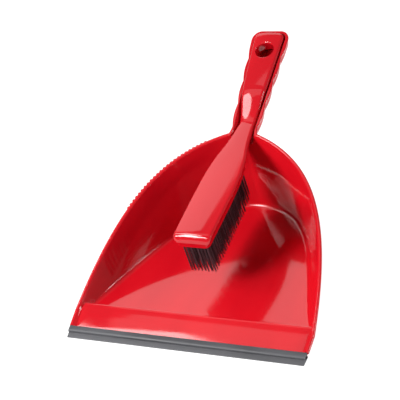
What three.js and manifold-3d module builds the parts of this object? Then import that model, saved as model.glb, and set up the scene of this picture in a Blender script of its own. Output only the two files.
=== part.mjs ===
// A dust pan and brush set: a scoop with a soft lip strip, and a hand brush whose handle
// nests in the scoop's hollow handle. Millimetres, +Z up. X runs across the scoop and +Y
// from the lip to the end of the handle. Everything is drawn from the lip's front edge,
// and the last group moves the set so that its origin is under the middle of its length.
import * as THREE from 'three';
import { mergeVertices } from 'three/addons/utils/BufferGeometryUtils.js';
import Module from 'manifold-3d';

const wasm = await Module();
wasm.setup();

// ---- Driving dimensions: the scoop ----
const FIT = 0.3;                    // gap between pieces that seat on each other
const WALL = 2.2;                   // moulded wall of the scoop and of its handle
const RIM_HALF_WIDTH = 116;         // to the outer edge of the rim
const SCOOP_LENGTH = 200.5;         // lip to the point where the rim's two sides would meet
const HANDLE_LENGTH = 96;           // from there to the end of the handle
const RIM_ANGLE = THREE.MathUtils.degToRad(22.5);
const RIM_START = new THREE.Vector2(26, 10);     // Y and Z where the sloping rim begins
const RIM_SIDE_REACH = new THREE.Vector2(10.5, 106);  // how the rim's sides bow
const RIM_BACK_REACH = new THREE.Vector2(74, 20);    // how the rim's back bows
const RIM_BEAD_WIDTH = 3.2;
const RIM_BEAD_HEIGHT = 3.2;
const RIM_BEAD_OVERHANG = 1;        // how far the bead stands out past the wall
const FRONT_WALL_HEIGHT = 5.4;      // the side wall where it dies into the lip

const FLOOR_TOP = 3;
const FLOOR_FRONT_INSET = 10;       // from the rim's half width to the floor's front corner
const FLOOR_FRONT_Y = 40;
const FLOOR_BACK_INSET = 15;        // from the scoop's length to the floor's back edge
const FLOOR_SIDE_REACH = new THREE.Vector2(24, 52);
const FLOOR_BACK_REACH = 66;
const FLOOR_FILLET = 5;
const FILLET_RISES = [0.03, 0.16];  // shares of the wall's height that the fillet steps through
const FOOT_RING_WIDTH = 9;          // flat band that the scoop stands on
const FOOT_RECESS = 0.8;

const PAN_FRONT_Y = 10.6;           // front face of the scoop, behind the lip strip
const RAMP_FOOT_INSET = 4;          // from the rim's half width to the ramp's front corner
const RAMP_FRONT_HEIGHT = 4.6;
const RIDGE_Y = 34.5;
const RIDGE_HEIGHT = 9.3;
const RIDGE_STEP = 3;               // length over which the ridge drops to the floor
const RAMP_POCKETS = 6;             // hollows under the ramp, with ribs between them
const RIB = 1.8;

const COMB_PITCH = 4;               // teeth along the left of the rim, for combing the brush
const COMB_TEETH = 24;
const COMB_START = 38;              // along the rim, from its back point to the first tooth
const TOOTH_REACH = 1.6;            // how far a tooth stands out from the rim
const TOOTH_LENGTH = 2.4;
const TOOTH_THICKNESS = 1.8;
const TOOTH_DROP = 1.2;             // from the rim's plane to a tooth's middle

const TROUGH_DEPTH = 11;            // from the rim's plane to the inner bottom
const TROUGH_HALF_START = 10.4;     // inner half width at the scoop
const TROUGH_HALF_END = 15.8;       // inner half width at the end
const TROUGH_CORNER = 9;
const TROUGH_DRAFT = 1;             // each side draws in by this down to the corner
const HANDLE_END_RADIUS = 9;
const MOUTH_RADIUS = 22;            // concave fillet between the rim and the handle
const LOBE_PITCH = 22.4;            // finger lobes on the handle's sides
const LOBE_RISE = 1.4;
const LOBE_FIRST_NOTCH = 27;        // from the handle's end
const LOBE_NOTCHES = 4;
const PAN_HOLE = { from: 24.5, halfWidth: 4, halfLength: 4 };      // from the end, along the slope
const BRUSH_HOLE = { from: 23, halfWidth: 9, halfLength: 7.6 };

// ---- Driving dimensions: the lip strip ----
const LIP_HEIGHT = 5.3;
const LIP_BLADE_RISE = 2.1;         // height of the thin front blade at its root
const LIP_BLADE_REACH = 5;          // depth of the blade in front of the strip's body
const LIP_END_INSET = 2;            // from the rim's half width to the strip's end
const TONGUE_THICKNESS = 1.6;       // the scoop's tongue that the strip grips
const TONGUE_BOTTOM = 1.2;
const TONGUE_REACH = 4.5;
const TONGUE_END_INSET = 5;

// ---- Driving dimensions: the brush ----
const SHELL_WALL = 2;
const CROWN = 0.9;                  // rise of the top face at its middle
const GRIP_PROUD = 4.6;             // how far the grip stands above the scoop's rim plane
const GRIP_SINK = 6.5;              // how deep it lies in the trough
const GRIP_SIDE_GAP = 0.8;          // from the grip to the trough's wall
const GRIP_FOOT_GAP = 0.6;          // from the grip's lower edges to the trough's rounded corners
const GRIP_TAIL = 0.6;              // share of the nose's rounding at the grip's end
const GRIP_BLEND = 22;              // from the neck to the full grip
const HEAD_HALF_WIDTH = 18.2;
const HEAD_LENGTH = 74;             // straight part, behind the front end
const HEAD_DEPTH = 12;              // block and shell together
const HEAD_PITCH = 0.1;             // slope of the head's top
const HEAD_TAPER = 2.6;             // each side draws in by this towards the bristles
const HEAD_TO_NECK = 68;
const HEAD_RISE = 0.11;             // slope of the top from the head's back to the neck
const HEAD_NARROWS = [[0.3, 0.86], [0.6, 0.6]];   // shares of the way to the neck and of the width
const NECK_HALF_WIDTH = 8;
const NECK_ROUNDING = { before: 0.3, after: 0.6, top: 0.5 };   // how far the neck has opened again
const NECK_SINK = 2.4;              // neck's top, below the rim plane
const NECK_CLEARANCE = 2.2;         // neck's underside, above the trough's bottom
const NECK_TAPER = 2.2;
const NECK_REACH = 6;               // half the length over which the neck keeps its width
const NECK_PAST_RIM = 9;            // the neck's middle, behind the rim's back point
const HEAD_CORNER = 4;              // rounded front corners, seen from above
const HEAD_NOSE = 6.5;              // rounded front top edge
const EDGE_RADIUS = 2.6;
const EDGE_SHARE = 0.6;             // most of a narrow ring that its rounded edges take
const EDGE_STEPS = 4;
const SHOULDER = { out: 0.5, down: 0.25 };   // the crown's point between its middle and its edge
const HOLE_COLLAR = 1.8;            // wall round the hang hole inside the grip
const GRIP_RIBS = 4;
const RIB_BEFORE_HOLE = 8;          // from the last rib to the hang hole

const BLOCK_BEHIND_HEAD = 23;       // how far the block runs on behind the head
const BLOCK_FLANGE = 3;
const BLOCK_PLUG = 2.4;
const TUFT_PITCH = 3.4;             // along the head, row to row
const TUFT_SPACING = 3.3;           // across the head, in a row
const TUFT_SIZE = 1.9;
const TUFT_TIP = 1.1;
const TUFT_LENGTH = 31;
const TUFT_ROOT = 4.2;              // depth held in the block
const TUFT_ROWS = 28;
const TUFT_ROOT_STRIP = 1;          // strip below the block that joins a row's tufts
const TUFT_MARGIN = 3.3;            // the first row's middle, behind the block's front

// ---- Derived sizes ----
const OVERALL_LENGTH = SCOOP_LENGTH + HANDLE_LENGTH;
const SLOPE = Math.tan(RIM_ANGLE);
const UPRIGHT = 1 / Math.cos(RIM_ANGLE);        // turns a depth across the slope into a height
const TROUGH_DROP = TROUGH_DEPTH * UPRIGHT;
const TROUGH_END = OVERALL_LENGTH - WALL;
const GRIP_END = TROUGH_END - GRIP_SIDE_GAP;
const NECK_Y = SCOOP_LENGTH + NECK_PAST_RIM;
const HEAD_BACK_Y = NECK_Y - HEAD_TO_NECK;
const HEAD_FRONT_Y = HEAD_BACK_Y - HEAD_LENGTH;
const BLOCK_END_Y = HEAD_BACK_Y + BLOCK_BEHIND_HEAD;
const NECK_DEPTH = TROUGH_DROP - NECK_SINK - NECK_CLEARANCE;
const OUTLINE_STEPS = 22;
const CORNER_STEPS = 5;
const OVAL_STEPS = 10;
const RING_STEP = 6;                // longest stretch between a brush's rings
const NEAR_AN_END = [0.3, 1.1, 2.4, 4];      // rings close to a rounded end
const NEAR_THE_HANDLE_END = [0.4, 1.6, 3.6];
const PAST_THE_RIM = 1.3;           // share that runs a wall on past the rim, to be cut off
const FAR = 400;                    // longer than the set, for cutting shapes

const rimPlane = (y) => RIM_START.y + SLOPE * (y - RIM_START.x);
const rimLine = (y) => Math.max(rimPlane(y), FRONT_WALL_HEIGHT);

// ---- Solids ----
function toSolid(geometry) {
  const bare = geometry.clone();
  bare.deleteAttribute('normal');
  bare.deleteAttribute('uv');
  const merged = mergeVertices(bare, 1e-4);
  const mesh = new wasm.Mesh({
    numProp: 3,
    vertProperties: new Float32Array(merged.attributes.position.array),
    triVerts: new Uint32Array(merged.index.array),
  });
  return new wasm.Manifold(mesh);
}

function toGeometry(solid) {
  const mesh = solid.getMesh();
  const geometry = new THREE.BufferGeometry();
  geometry.setAttribute('position', new THREE.BufferAttribute(mesh.vertProperties, 3));
  geometry.setIndex(new THREE.BufferAttribute(mesh.triVerts, 1));
  geometry.computeVertexNormals();
  return geometry;
}

const join = (solids) => solids.reduce((whole, solid) => whole.add(solid));
const cut = (solid, tools) => solid.subtract(join(tools));

// A closed body through rings of equal point counts, closed at each end by a fan.
function loft(rings) {
  const count = rings[0].length;
  const centre = (ring) => ring.reduce((sum, p) => sum.add(p), new THREE.Vector3())
    .divideScalar(count);
  const points = [...rings.flat(), centre(rings[0]), centre(rings.at(-1))];
  const last = (rings.length - 1) * count;
  const triangles = [];
  for (let i = 0; i < count; i++) {
    const next = (i + 1) % count;
    for (let k = 0; k < last; k += count) {
      triangles.push([k + i, k + next, k + next + count], [k + i, k + next + count, k + i + count]);
    }
    triangles.push([points.length - 2, next, i], [points.length - 1, last + i, last + next]);
  }
  const volume = triangles.reduce((sum, [a, b, c]) =>
    sum + points[a].dot(new THREE.Vector3().crossVectors(points[b], points[c])), 0);
  const outward = volume > 0 ? triangles : triangles.map(([a, b, c]) => [a, c, b]);
  const geometry = new THREE.BufferGeometry();
  geometry.setAttribute('position',
    new THREE.Float32BufferAttribute(points.flatMap((p) => p.toArray()), 3));
  geometry.setIndex(outward.flat());
  return toSolid(geometry);
}

// A profile of [y, z] points, run across the set from -half to +half.
function runAcross(profile, half, centre = 0) {
  const shape = new THREE.Shape(profile.map(([y, z]) => new THREE.Vector2(y, z)));
  const geometry = new THREE.ExtrudeGeometry(shape, { depth: 2 * half, bevelEnabled: false });
  geometry.applyMatrix4(new THREE.Matrix4().makeBasis(
    new THREE.Vector3(0, 1, 0), new THREE.Vector3(0, 0, 1), new THREE.Vector3(1, 0, 0)));
  geometry.translate(centre - half, 0, 0);
  return toSolid(geometry);
}

function box(x0, x1, y0, y1, z0, z1) {
  const geometry = new THREE.BoxGeometry(x1 - x0, y1 - y0, z1 - z0);
  geometry.translate((x0 + x1) / 2, (y0 + y1) / 2, (z0 + z1) / 2);
  return toSolid(geometry);
}

// ---- Outlines of the scoop, seen from above ----
// Each runs from the right front corner round the back to the left front corner.
function mirrored(half) {
  const left = half.slice(0, -1).reverse().map((p) => new THREE.Vector2(-p.x, p.y));
  return [...half, ...left];
}

function rimOutline() {
  const start = new THREE.Vector2(RIM_HALF_WIDTH, RIM_START.x);
  const curve = new THREE.CubicBezierCurve(
    start,
    new THREE.Vector2(RIM_HALF_WIDTH - RIM_SIDE_REACH.x, RIM_START.x + RIM_SIDE_REACH.y),
    new THREE.Vector2(RIM_BACK_REACH.x, SCOOP_LENGTH - RIM_BACK_REACH.y),
    new THREE.Vector2(0, SCOOP_LENGTH));
  const corner = new THREE.Vector2(RIM_HALF_WIDTH - 0.5, PAN_FRONT_Y);
  return mirrored([corner, ...curve.getPoints(OUTLINE_STEPS)]);
}

function floorOutline() {
  const half = RIM_HALF_WIDTH - FLOOR_FRONT_INSET;
  const back = SCOOP_LENGTH - FLOOR_BACK_INSET;
  const curve = new THREE.CubicBezierCurve(
    new THREE.Vector2(half, FLOOR_FRONT_Y),
    new THREE.Vector2(half - FLOOR_SIDE_REACH.x, FLOOR_FRONT_Y + FLOOR_SIDE_REACH.y),
    new THREE.Vector2(FLOOR_BACK_REACH, back),
    new THREE.Vector2(0, back));
  const corner = new THREE.Vector2(RIM_HALF_WIDTH - RAMP_FOOT_INSET, PAN_FRONT_Y);
  return mirrored([corner, ...curve.getPoints(OUTLINE_STEPS)]);
}

// Moves an outline outwards; its two front corners keep their place along Y.
function offset(outline, distance) {
  const last = outline.length - 1;
  return outline.map((p, i) => {
    const before = outline[Math.max(i - 1, 0)];
    const after = outline[Math.min(i + 1, last)];
    const along = new THREE.Vector2().subVectors(after, before).normalize();
    const moved = new THREE.Vector2(p.x + along.y * distance, p.y - along.x * distance);
    return i === 0 || i === last ? new THREE.Vector2(moved.x, p.y) : moved;
  });
}

const raised = (outline, height) => outline.map((p) =>
  new THREE.Vector3(p.x, p.y, typeof height === 'function' ? height(p.y) : height));

// The ring a share of the way from one ring to another; a share over 1 goes past it.
const between = (low, high, share) => low.map((p, i) => p.clone().lerp(high[i], share));

// Brings an open front: the ring's front corners run on to y.
const openFront = (ring, y) => [
  new THREE.Vector3(ring[0].x, y, ring[0].z), ...ring,
  new THREE.Vector3(ring.at(-1).x, y, ring.at(-1).z)];

// ---- The scoop's hollow handle ----
function troughHalf(y) {
  const share = THREE.MathUtils.clamp((y - SCOOP_LENGTH) / HANDLE_LENGTH, 0, 1);
  const straight = THREE.MathUtils.lerp(TROUGH_HALF_START, TROUGH_HALF_END, share);
  const into = THREE.MathUtils.clamp(SCOOP_LENGTH - y, 0, MOUTH_RADIUS);
  return straight + MOUTH_RADIUS - Math.sqrt(MOUTH_RADIUS ** 2 - into ** 2);
}

function lobe(y) {
  const from = OVERALL_LENGTH - LOBE_FIRST_NOTCH - y;
  const turn = Math.PI * from / LOBE_PITCH;
  return LOBE_RISE * (from < 0 ? Math.sin(Math.min(-turn, Math.PI / 2)) : Math.abs(Math.sin(turn)));
}

// Draws a half width in round the last stretch before an end.
function roundedEnd(half, fromEnd, radius) {
  if (fromEnd >= radius) return half;
  const left = Math.max(fromEnd, 0);
  return half - radius + Math.sqrt(radius ** 2 - (radius - left) ** 2);
}

// A U-shaped ring: sides with a little draft, wide rounded corners.
function troughRing(y, half, bottom, fullCorner) {
  const corner = Math.min(fullCorner, half - TROUGH_DRAFT - FIT);
  const right = [new THREE.Vector3(half, y, rimPlane(y) + TROUGH_DEPTH)];
  for (let i = 0; i <= CORNER_STEPS; i++) {
    const angle = (Math.PI / 2) * (i / CORNER_STEPS);
    right.push(new THREE.Vector3(half - TROUGH_DRAFT - corner * (1 - Math.cos(angle)), y,
      bottom + corner * (1 - Math.sin(angle))));
  }
  const left = [...right].reverse().map((p) => new THREE.Vector3(-p.x, p.y, p.z));
  return [...right, ...left];
}

function stations(from, to, step, extra = []) {
  const count = Math.ceil((to - from) / step);
  const even = Array.from({ length: count + 1 }, (_, i) => from + (to - from) * (i / count));
  return [...even, ...extra].sort((a, b) => a - b)
    .filter((y, i, all) => i === 0 || y - all[i - 1] > 0.05);
}

function handleBody() {
  const start = SCOOP_LENGTH - MOUTH_RADIUS;
  const near = [...NEAR_THE_HANDLE_END, RING_STEP].map((d) => OVERALL_LENGTH - d);
  const notches = Array.from({ length: LOBE_NOTCHES }, (_, n) =>
    OVERALL_LENGTH - LOBE_FIRST_NOTCH - n * LOBE_PITCH);
  const rings = stations(start, OVERALL_LENGTH, 2.6, [...near, ...notches]).map((y) => {
    const half = troughHalf(y) + WALL + lobe(y);
    const rounded = roundedEnd(half, OVERALL_LENGTH - y, HANDLE_END_RADIUS);
    return troughRing(y, rounded, rimPlane(y) - TROUGH_DROP - WALL * UPRIGHT, TROUGH_CORNER + WALL);
  });
  return loft(rings);
}

function handleHollow() {
  const start = SCOOP_LENGTH - MOUTH_RADIUS;
  const near = NEAR_THE_HANDLE_END.map((d) => TROUGH_END - d);
  const rings = stations(start, TROUGH_END, 5, near).map((y) => {
    const half = roundedEnd(troughHalf(y), TROUGH_END - y, HANDLE_END_RADIUS - WALL);
    return troughRing(y, half, rimPlane(y) - TROUGH_DROP, TROUGH_CORNER);
  });
  return loft(rings);
}

// An oval bar across the handle's slope, for a hang hole and the collar round it.
function hangHoleBar({ from, halfWidth, halfLength }, grow = 0) {
  const shape = new THREE.Shape();
  shape.absellipse(0, 0, halfWidth + grow, halfLength + grow, 0, 2 * Math.PI);
  const geometry = new THREE.ExtrudeGeometry(shape,
    { depth: 4 * TROUGH_DEPTH, bevelEnabled: false, curveSegments: OVAL_STEPS });
  geometry.translate(0, 0, -2 * TROUGH_DEPTH);
  geometry.rotateX(RIM_ANGLE);
  const y = OVERALL_LENGTH - from * Math.cos(RIM_ANGLE);
  geometry.translate(0, y, rimPlane(y));
  return toSolid(geometry);
}

// ---- The scoop ----
function ramp() {
  const crest = RIDGE_Y + 1;
  const front = PAN_FRONT_Y - 1;
  const rise = (RIDGE_HEIGHT - RAMP_FRONT_HEIGHT) / (RIDGE_Y - PAN_FRONT_Y);
  return runAcross([
    [front, -1], [front, RAMP_FRONT_HEIGHT - rise], [RIDGE_Y, RIDGE_HEIGHT],
    [crest, RIDGE_HEIGHT], [crest + RIDGE_STEP, FLOOR_TOP - 1], [crest + RIDGE_STEP, -1]],
  2 * RIM_HALF_WIDTH);
}

function rampHollows() {
  const inside = 2 * (RIM_HALF_WIDTH - FLOOR_FRONT_INSET - FOOT_RING_WIDTH);
  const pitch = inside / RAMP_POCKETS;
  const rise = (RIDGE_HEIGHT - RAMP_FRONT_HEIGHT) / (RIDGE_Y - PAN_FRONT_Y);
  const front = PAN_FRONT_Y + FOOT_RING_WIDTH;
  const frontRoof = RAMP_FRONT_HEIGHT + rise * FOOT_RING_WIDTH - WALL;
  const profile = [[front, -1], [front, frontRoof], [RIDGE_Y - 1, RIDGE_HEIGHT - WALL - 0.2],
    [RIDGE_Y + RIDGE_STEP - 1.4, FOOT_RECESS], [RIDGE_Y + RIDGE_STEP - 1.4, -1]];
  return Array.from({ length: RAMP_POCKETS }, (_, i) =>
    runAcross(profile, (pitch - RIB) / 2, -inside / 2 + pitch * (i + 0.5)));
}

// Teeth that stand out from the left of the rim, in its plane.
function combTeeth() {
  const edge = raised(offset(rimOutline(), -RIM_BEAD_OVERHANG), rimPlane)
    .slice(1, OUTLINE_STEPS + 2).reverse().map((p) => new THREE.Vector3(-p.x, p.y, p.z));
  const curve = new THREE.CatmullRomCurve3(edge);
  const length = curve.getLength();
  const up = new THREE.Vector3(0, -Math.sin(RIM_ANGLE), Math.cos(RIM_ANGLE));
  return Array.from({ length: COMB_TEETH }, (_, i) => {
    const place = (COMB_START + i * COMB_PITCH) / length;
    const back = curve.getTangentAt(place).projectOnPlane(up).normalize().negate();
    const out = new THREE.Vector3().crossVectors(back, up).negate();
    const middle = curve.getPointAt(place).addScaledVector(up, -TOOTH_DROP);
    const tip = RIM_BEAD_OVERHANG + TOOTH_REACH;
    const shape = new THREE.Shape([
      new THREE.Vector2(-TOOTH_LENGTH / 2, -TOOTH_REACH), new THREE.Vector2(TOOTH_LENGTH / 2, -TOOTH_REACH),
      new THREE.Vector2(TOOTH_LENGTH / 4, tip), new THREE.Vector2(-TOOTH_LENGTH / 4, tip)]);
    const geometry = new THREE.ExtrudeGeometry(shape, { depth: TOOTH_THICKNESS, bevelEnabled: false });
    geometry.translate(0, 0, -TOOTH_THICKNESS / 2);
    const across = new THREE.Vector3().crossVectors(back, out);
    geometry.applyMatrix4(new THREE.Matrix4().makeBasis(back, out, across).setPosition(middle));
    return toSolid(geometry);
  });
}

function panBody() {
  const rim = rimOutline();
  const floor = floorOutline();
  const wallFoot = raised(offset(floor, WALL), FLOOR_TOP);
  const wallTop = raised(offset(rim, -RIM_BEAD_OVERHANG), rimLine);
  const outside = loft([raised(offset(floor, -1), 0), wallFoot, between(wallFoot, wallTop, PAST_THE_RIM)]);
  const bead = loft([
    raised(offset(rim, -RIM_BEAD_OVERHANG - 1), (y) => rimLine(y) - RIM_BEAD_HEIGHT - 1.2),
    raised(rim, (y) => rimLine(y) - RIM_BEAD_HEIGHT),
    raised(rim, (y) => rimLine(y) + RIM_BEAD_HEIGHT)]);
  const aboveRim = runAcross([
    [-FAR, FRONT_WALL_HEIGHT],
    [RIM_START.x + (FRONT_WALL_HEIGHT - RIM_START.y) / SLOPE, FRONT_WALL_HEIGHT],
    [FAR, rimPlane(FAR)], [FAR, FAR], [-FAR, FAR]], FAR);

  const insideFoot = raised(floor, FLOOR_TOP);
  const insideTop = raised(offset(rim, -RIM_BEAD_WIDTH), rimLine);
  const inside = loft([
    raised(offset(floor, -FLOOR_FILLET), FLOOR_TOP),
    ...FILLET_RISES.map((share) => between(insideFoot, insideTop, share)),
    between(insideFoot, insideTop, PAST_THE_RIM)].map((ring) => openFront(ring, -FAR / 4)));
  const recess = loft([-1, FOOT_RECESS].map((z) =>
    raised(offset(floor, -FOOT_RING_WIDTH).slice(1, -1), z)));
  const tongueHalf = RIM_HALF_WIDTH - TONGUE_END_INSET;
  const tongue = box(-tongueHalf, tongueHalf, PAN_FRONT_Y - TONGUE_REACH, PAN_FRONT_Y + 1,
    TONGUE_BOTTOM, TONGUE_BOTTOM + TONGUE_THICKNESS);

  const shell = cut(join([outside, bead, handleBody()]),
    [aboveRim, inside.subtract(ramp()), handleHollow()]);
  const whole = join([shell, tongue, ...combTeeth()]);
  return cut(whole, [hangHoleBar(PAN_HOLE), recess, ...rampHollows()]);
}

// ---- The lip strip ----
function lipStrip() {
  const back = PAN_FRONT_Y - FIT;
  const grooveFront = PAN_FRONT_Y - TONGUE_REACH - FIT;
  const grooveTop = TONGUE_BOTTOM + TONGUE_THICKNESS + FIT;
  const half = RIM_HALF_WIDTH - LIP_END_INSET;
  return runAcross([
    [0, 0], [0.2, 0.7], [LIP_BLADE_REACH, LIP_BLADE_RISE], [LIP_BLADE_REACH - 0.5, LIP_BLADE_RISE + 0.9],
    [LIP_BLADE_REACH, LIP_HEIGHT - 1.1], [LIP_BLADE_REACH + 1.4, LIP_HEIGHT - 0.5], [back, LIP_HEIGHT],
    [back, grooveTop], [grooveFront, grooveTop], [grooveFront, TONGUE_BOTTOM - FIT],
    [back, TONGUE_BOTTOM - FIT], [back, 0]], half);
}

// ---- The brush ----
// A value along the brush: a smooth curve through [y, value] knots.
function along(knots) {
  const slopes = knots.map((_, i) => {
    const a = knots[Math.max(i - 1, 0)];
    const b = knots[Math.min(i + 1, knots.length - 1)];
    return (b[1] - a[1]) / (b[0] - a[0]);
  });
  return (y) => {
    const next = knots.findIndex((knot) => knot[0] > y);
    const i = next < 0 ? knots.length - 2 : Math.max(next - 1, 0);
    const [y0, v0] = knots[i];
    const [y1, v1] = knots[i + 1];
    const t = THREE.MathUtils.clamp((y - y0) / (y1 - y0), 0, 1);
    const run = y1 - y0;
    return v0 * (2 * t ** 3 - 3 * t ** 2 + 1) + slopes[i] * run * (t ** 3 - 2 * t ** 2 + t)
      + v1 * (3 * t ** 2 - 2 * t ** 3) + slopes[i + 1] * run * (t ** 3 - t ** 2);
  };
}

const GRIP_Y = NECK_Y + GRIP_BLEND;
const neckTop = rimPlane(NECK_Y) - NECK_SINK;
const headTopBack = neckTop - HEAD_RISE * HEAD_TO_NECK;
const gripTop = (y) => rimPlane(y) + GRIP_PROUD;
const gripHalf = (y) => troughHalf(y) - GRIP_SIDE_GAP;

// How far the trough's wall has drawn in where the grip's lower edges lie.
const sinkBelowCorner = Math.max(GRIP_SINK * UPRIGHT - (TROUGH_DROP - TROUGH_CORNER), 0);
const troughDrawIn = TROUGH_DRAFT + TROUGH_CORNER - Math.sqrt(TROUGH_CORNER ** 2 - sinkBelowCorner ** 2);
const GRIP_TAPER = troughDrawIn + GRIP_FOOT_GAP - GRIP_SIDE_GAP;
const GRIP_DEPTH = GRIP_PROUD + GRIP_SINK * UPRIGHT;

const topLine = along([
  [HEAD_FRONT_Y, headTopBack - HEAD_PITCH * HEAD_LENGTH],
  [HEAD_BACK_Y, headTopBack],
  [HEAD_BACK_Y + HEAD_TO_NECK / 2, headTopBack + HEAD_RISE * HEAD_TO_NECK / 2],
  [NECK_Y - NECK_REACH, neckTop - HEAD_RISE * NECK_REACH],
  [NECK_Y, neckTop + NECK_ROUNDING.top],
  [GRIP_Y, gripTop(GRIP_Y)],
  [GRIP_Y + NECK_REACH, gripTop(GRIP_Y + NECK_REACH)],
  [GRIP_END, gripTop(GRIP_END)]]);

const halfLine = along([
  [HEAD_FRONT_Y, HEAD_HALF_WIDTH],
  [HEAD_BACK_Y - NECK_REACH, HEAD_HALF_WIDTH],
  ...HEAD_NARROWS.map(([way, share]) => [HEAD_BACK_Y + HEAD_TO_NECK * way, HEAD_HALF_WIDTH * share]),
  [NECK_Y - NECK_REACH, NECK_HALF_WIDTH + NECK_ROUNDING.before],
  [NECK_Y, NECK_HALF_WIDTH],
  [NECK_Y + NECK_REACH, NECK_HALF_WIDTH + NECK_ROUNDING.after],
  [GRIP_Y + NECK_REACH, gripHalf(GRIP_Y + NECK_REACH)],
  [GRIP_END, gripHalf(GRIP_END)]]);

const shellDepth = HEAD_DEPTH - BLOCK_FLANGE - FIT;
const depthLine = along([
  [HEAD_FRONT_Y, shellDepth],
  [BLOCK_END_Y, shellDepth],
  [NECK_Y - NECK_REACH, NECK_DEPTH],
  [GRIP_Y, GRIP_DEPTH],
  [GRIP_END, GRIP_DEPTH]]);

const taperLine = along([
  [HEAD_FRONT_Y, HEAD_TAPER], [BLOCK_END_Y, HEAD_TAPER], [NECK_Y, NECK_TAPER],
  [GRIP_Y, GRIP_TAPER], [GRIP_END, GRIP_TAPER]]);

// Half the room between the trough's walls at a height; in front of the trough there is plenty.
function troughRoom(y, z) {
  if (y < SCOOP_LENGTH - MOUTH_RADIUS) return FAR;
  const corner = Math.min(TROUGH_CORNER, troughHalf(y) - TROUGH_DRAFT - FIT);
  const below = THREE.MathUtils.clamp(corner - (z - rimPlane(y) + TROUGH_DROP), 0, corner);
  return troughHalf(y) - TROUGH_DRAFT - corner + Math.sqrt(corner ** 2 - below ** 2);
}

// A ring of the brush, drawn in by a wall on every side; its bottom runs down by extra.
function brushRing(y, wall, extra) {
  const fromFrontEnd = y - HEAD_FRONT_Y - wall;
  const fromBackEnd = GRIP_END - y - wall;
  const half = Math.min(
    roundedEnd(halfLine(y) - wall, fromFrontEnd, HEAD_CORNER),
    roundedEnd(halfLine(y) - wall, fromBackEnd, HANDLE_END_RADIUS - WALL - GRIP_SIDE_GAP));
  const bottom = topLine(y) - depthLine(y);
  const nose = HEAD_NOSE - roundedEnd(HEAD_NOSE, fromFrontEnd, HEAD_NOSE);
  const tail = HEAD_NOSE - roundedEnd(HEAD_NOSE, fromBackEnd, HEAD_NOSE);
  const top = topLine(y) - wall - Math.max(nose, tail * GRIP_TAIL);
  const radius = Math.min(EDGE_RADIUS, half * EDGE_SHARE, (top - bottom) * EDGE_SHARE);
  const foot = Math.min(half - taperLine(y) * (half / halfLine(y)),
    troughRoom(y, bottom) - GRIP_FOOT_GAP);
  const crown = CROWN * (half / HEAD_HALF_WIDTH);
  const right = [new THREE.Vector3(foot, y, bottom - extra)];
  for (let i = 0; i <= EDGE_STEPS; i++) {
    const angle = (Math.PI / 2) * (i / EDGE_STEPS);
    right.push(new THREE.Vector3(half - radius * (1 - Math.cos(angle)), y,
      top - crown - radius * (1 - Math.sin(angle))));
  }
  right.push(new THREE.Vector3((half - radius) * SHOULDER.out, y, top - crown * SHOULDER.down));
  const left = [...right].reverse().map((p) => new THREE.Vector3(-p.x, p.y, p.z));
  return [...right, new THREE.Vector3(0, y, top), ...left];
}

function brushLoft(wall, extra) {
  const from = HEAD_FRONT_Y + wall;
  const to = GRIP_END - wall;
  const near = NEAR_AN_END.flatMap((d) => [from + d, to - d]);
  const ys = stations(from, to, RING_STEP, near);
  return loft(ys.map((y) => brushRing(y, wall, extra)));
}

function gripRibs() {
  const first = NECK_Y + GRIP_BLEND / 2;
  const last = OVERALL_LENGTH - (BRUSH_HOLE.from + BRUSH_HOLE.halfLength) - RIB_BEFORE_HOLE;
  return Array.from({ length: GRIP_RIBS }, (_, i) => {
    const y = first + (last - first) * (i / (GRIP_RIBS - 1));
    return box(-FAR, FAR, y - RIB / 2, y + RIB / 2, topLine(y) - depthLine(y) + GRIP_SIDE_GAP, topLine(y));
  });
}

function brushShell() {
  const outside = brushLoft(0, 0);
  const inside = brushLoft(SHELL_WALL, 4);
  const inner = join([hangHoleBar(BRUSH_HOLE, HOLE_COLLAR), ...gripRibs()]).intersect(outside);
  return cut(join([cut(outside, [inside]), inner]), [hangHoleBar(BRUSH_HOLE)]);
}

const blockTop = (y) => topLine(y) - depthLine(y) - FIT;

// A layer of the tuft block: the head's foot outline between two heights over its top face.
function blockLayer(inset, low, high) {
  const from = HEAD_FRONT_Y + inset;
  const ys = stations(from, BLOCK_END_Y - inset, RING_STEP, NEAR_AN_END.map((d) => from + d));
  const rings = ys.map((y) => {
    const half = Math.min(roundedEnd(halfLine(y) - inset, y - from, HEAD_CORNER),
      roundedEnd(halfLine(y) - inset, BLOCK_END_Y - inset - y + 0.5, HEAD_CORNER));
    const foot = half - taperLine(y) * (half / halfLine(y));
    return [[foot, low], [foot, high], [-foot, high], [-foot, low]].map(([x, h]) =>
      new THREE.Vector3(x, y, blockTop(y) + h));
  });
  return loft(rings);
}

const rowY = (row) => HEAD_FRONT_Y + TUFT_MARGIN + row * TUFT_PITCH;

function rowTufts(row) {
  const y = rowY(row);
  const widest = 2 * (halfLine(y) - taperLine(y) - SHELL_WALL - 2 * FIT) - TUFT_SIZE;
  const count = Math.floor(widest / TUFT_SPACING) + 1;
  return Array.from({ length: count }, (_, i) => (i - (count - 1) / 2) * TUFT_SPACING);
}

function tuftBlock() {
  const plugInset = SHELL_WALL + FIT;
  const flange = blockLayer(0, -BLOCK_FLANGE, 0);
  const plug = blockLayer(plugInset + FIT, -1, BLOCK_PLUG);
  const grooves = Array.from({ length: TUFT_ROWS }, (_, row) => {
    const half = rowTufts(row).at(-1) + TUFT_SIZE / 2 + FIT;
    const y = rowY(row);
    const bottom = blockTop(y) - BLOCK_FLANGE;
    return box(-half, half, y - TUFT_SIZE / 2 - FIT, y + TUFT_SIZE / 2 + FIT,
      bottom - 2, bottom + TUFT_ROOT + FIT);
  });
  return cut(join([flange, plug]), grooves);
}

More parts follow.
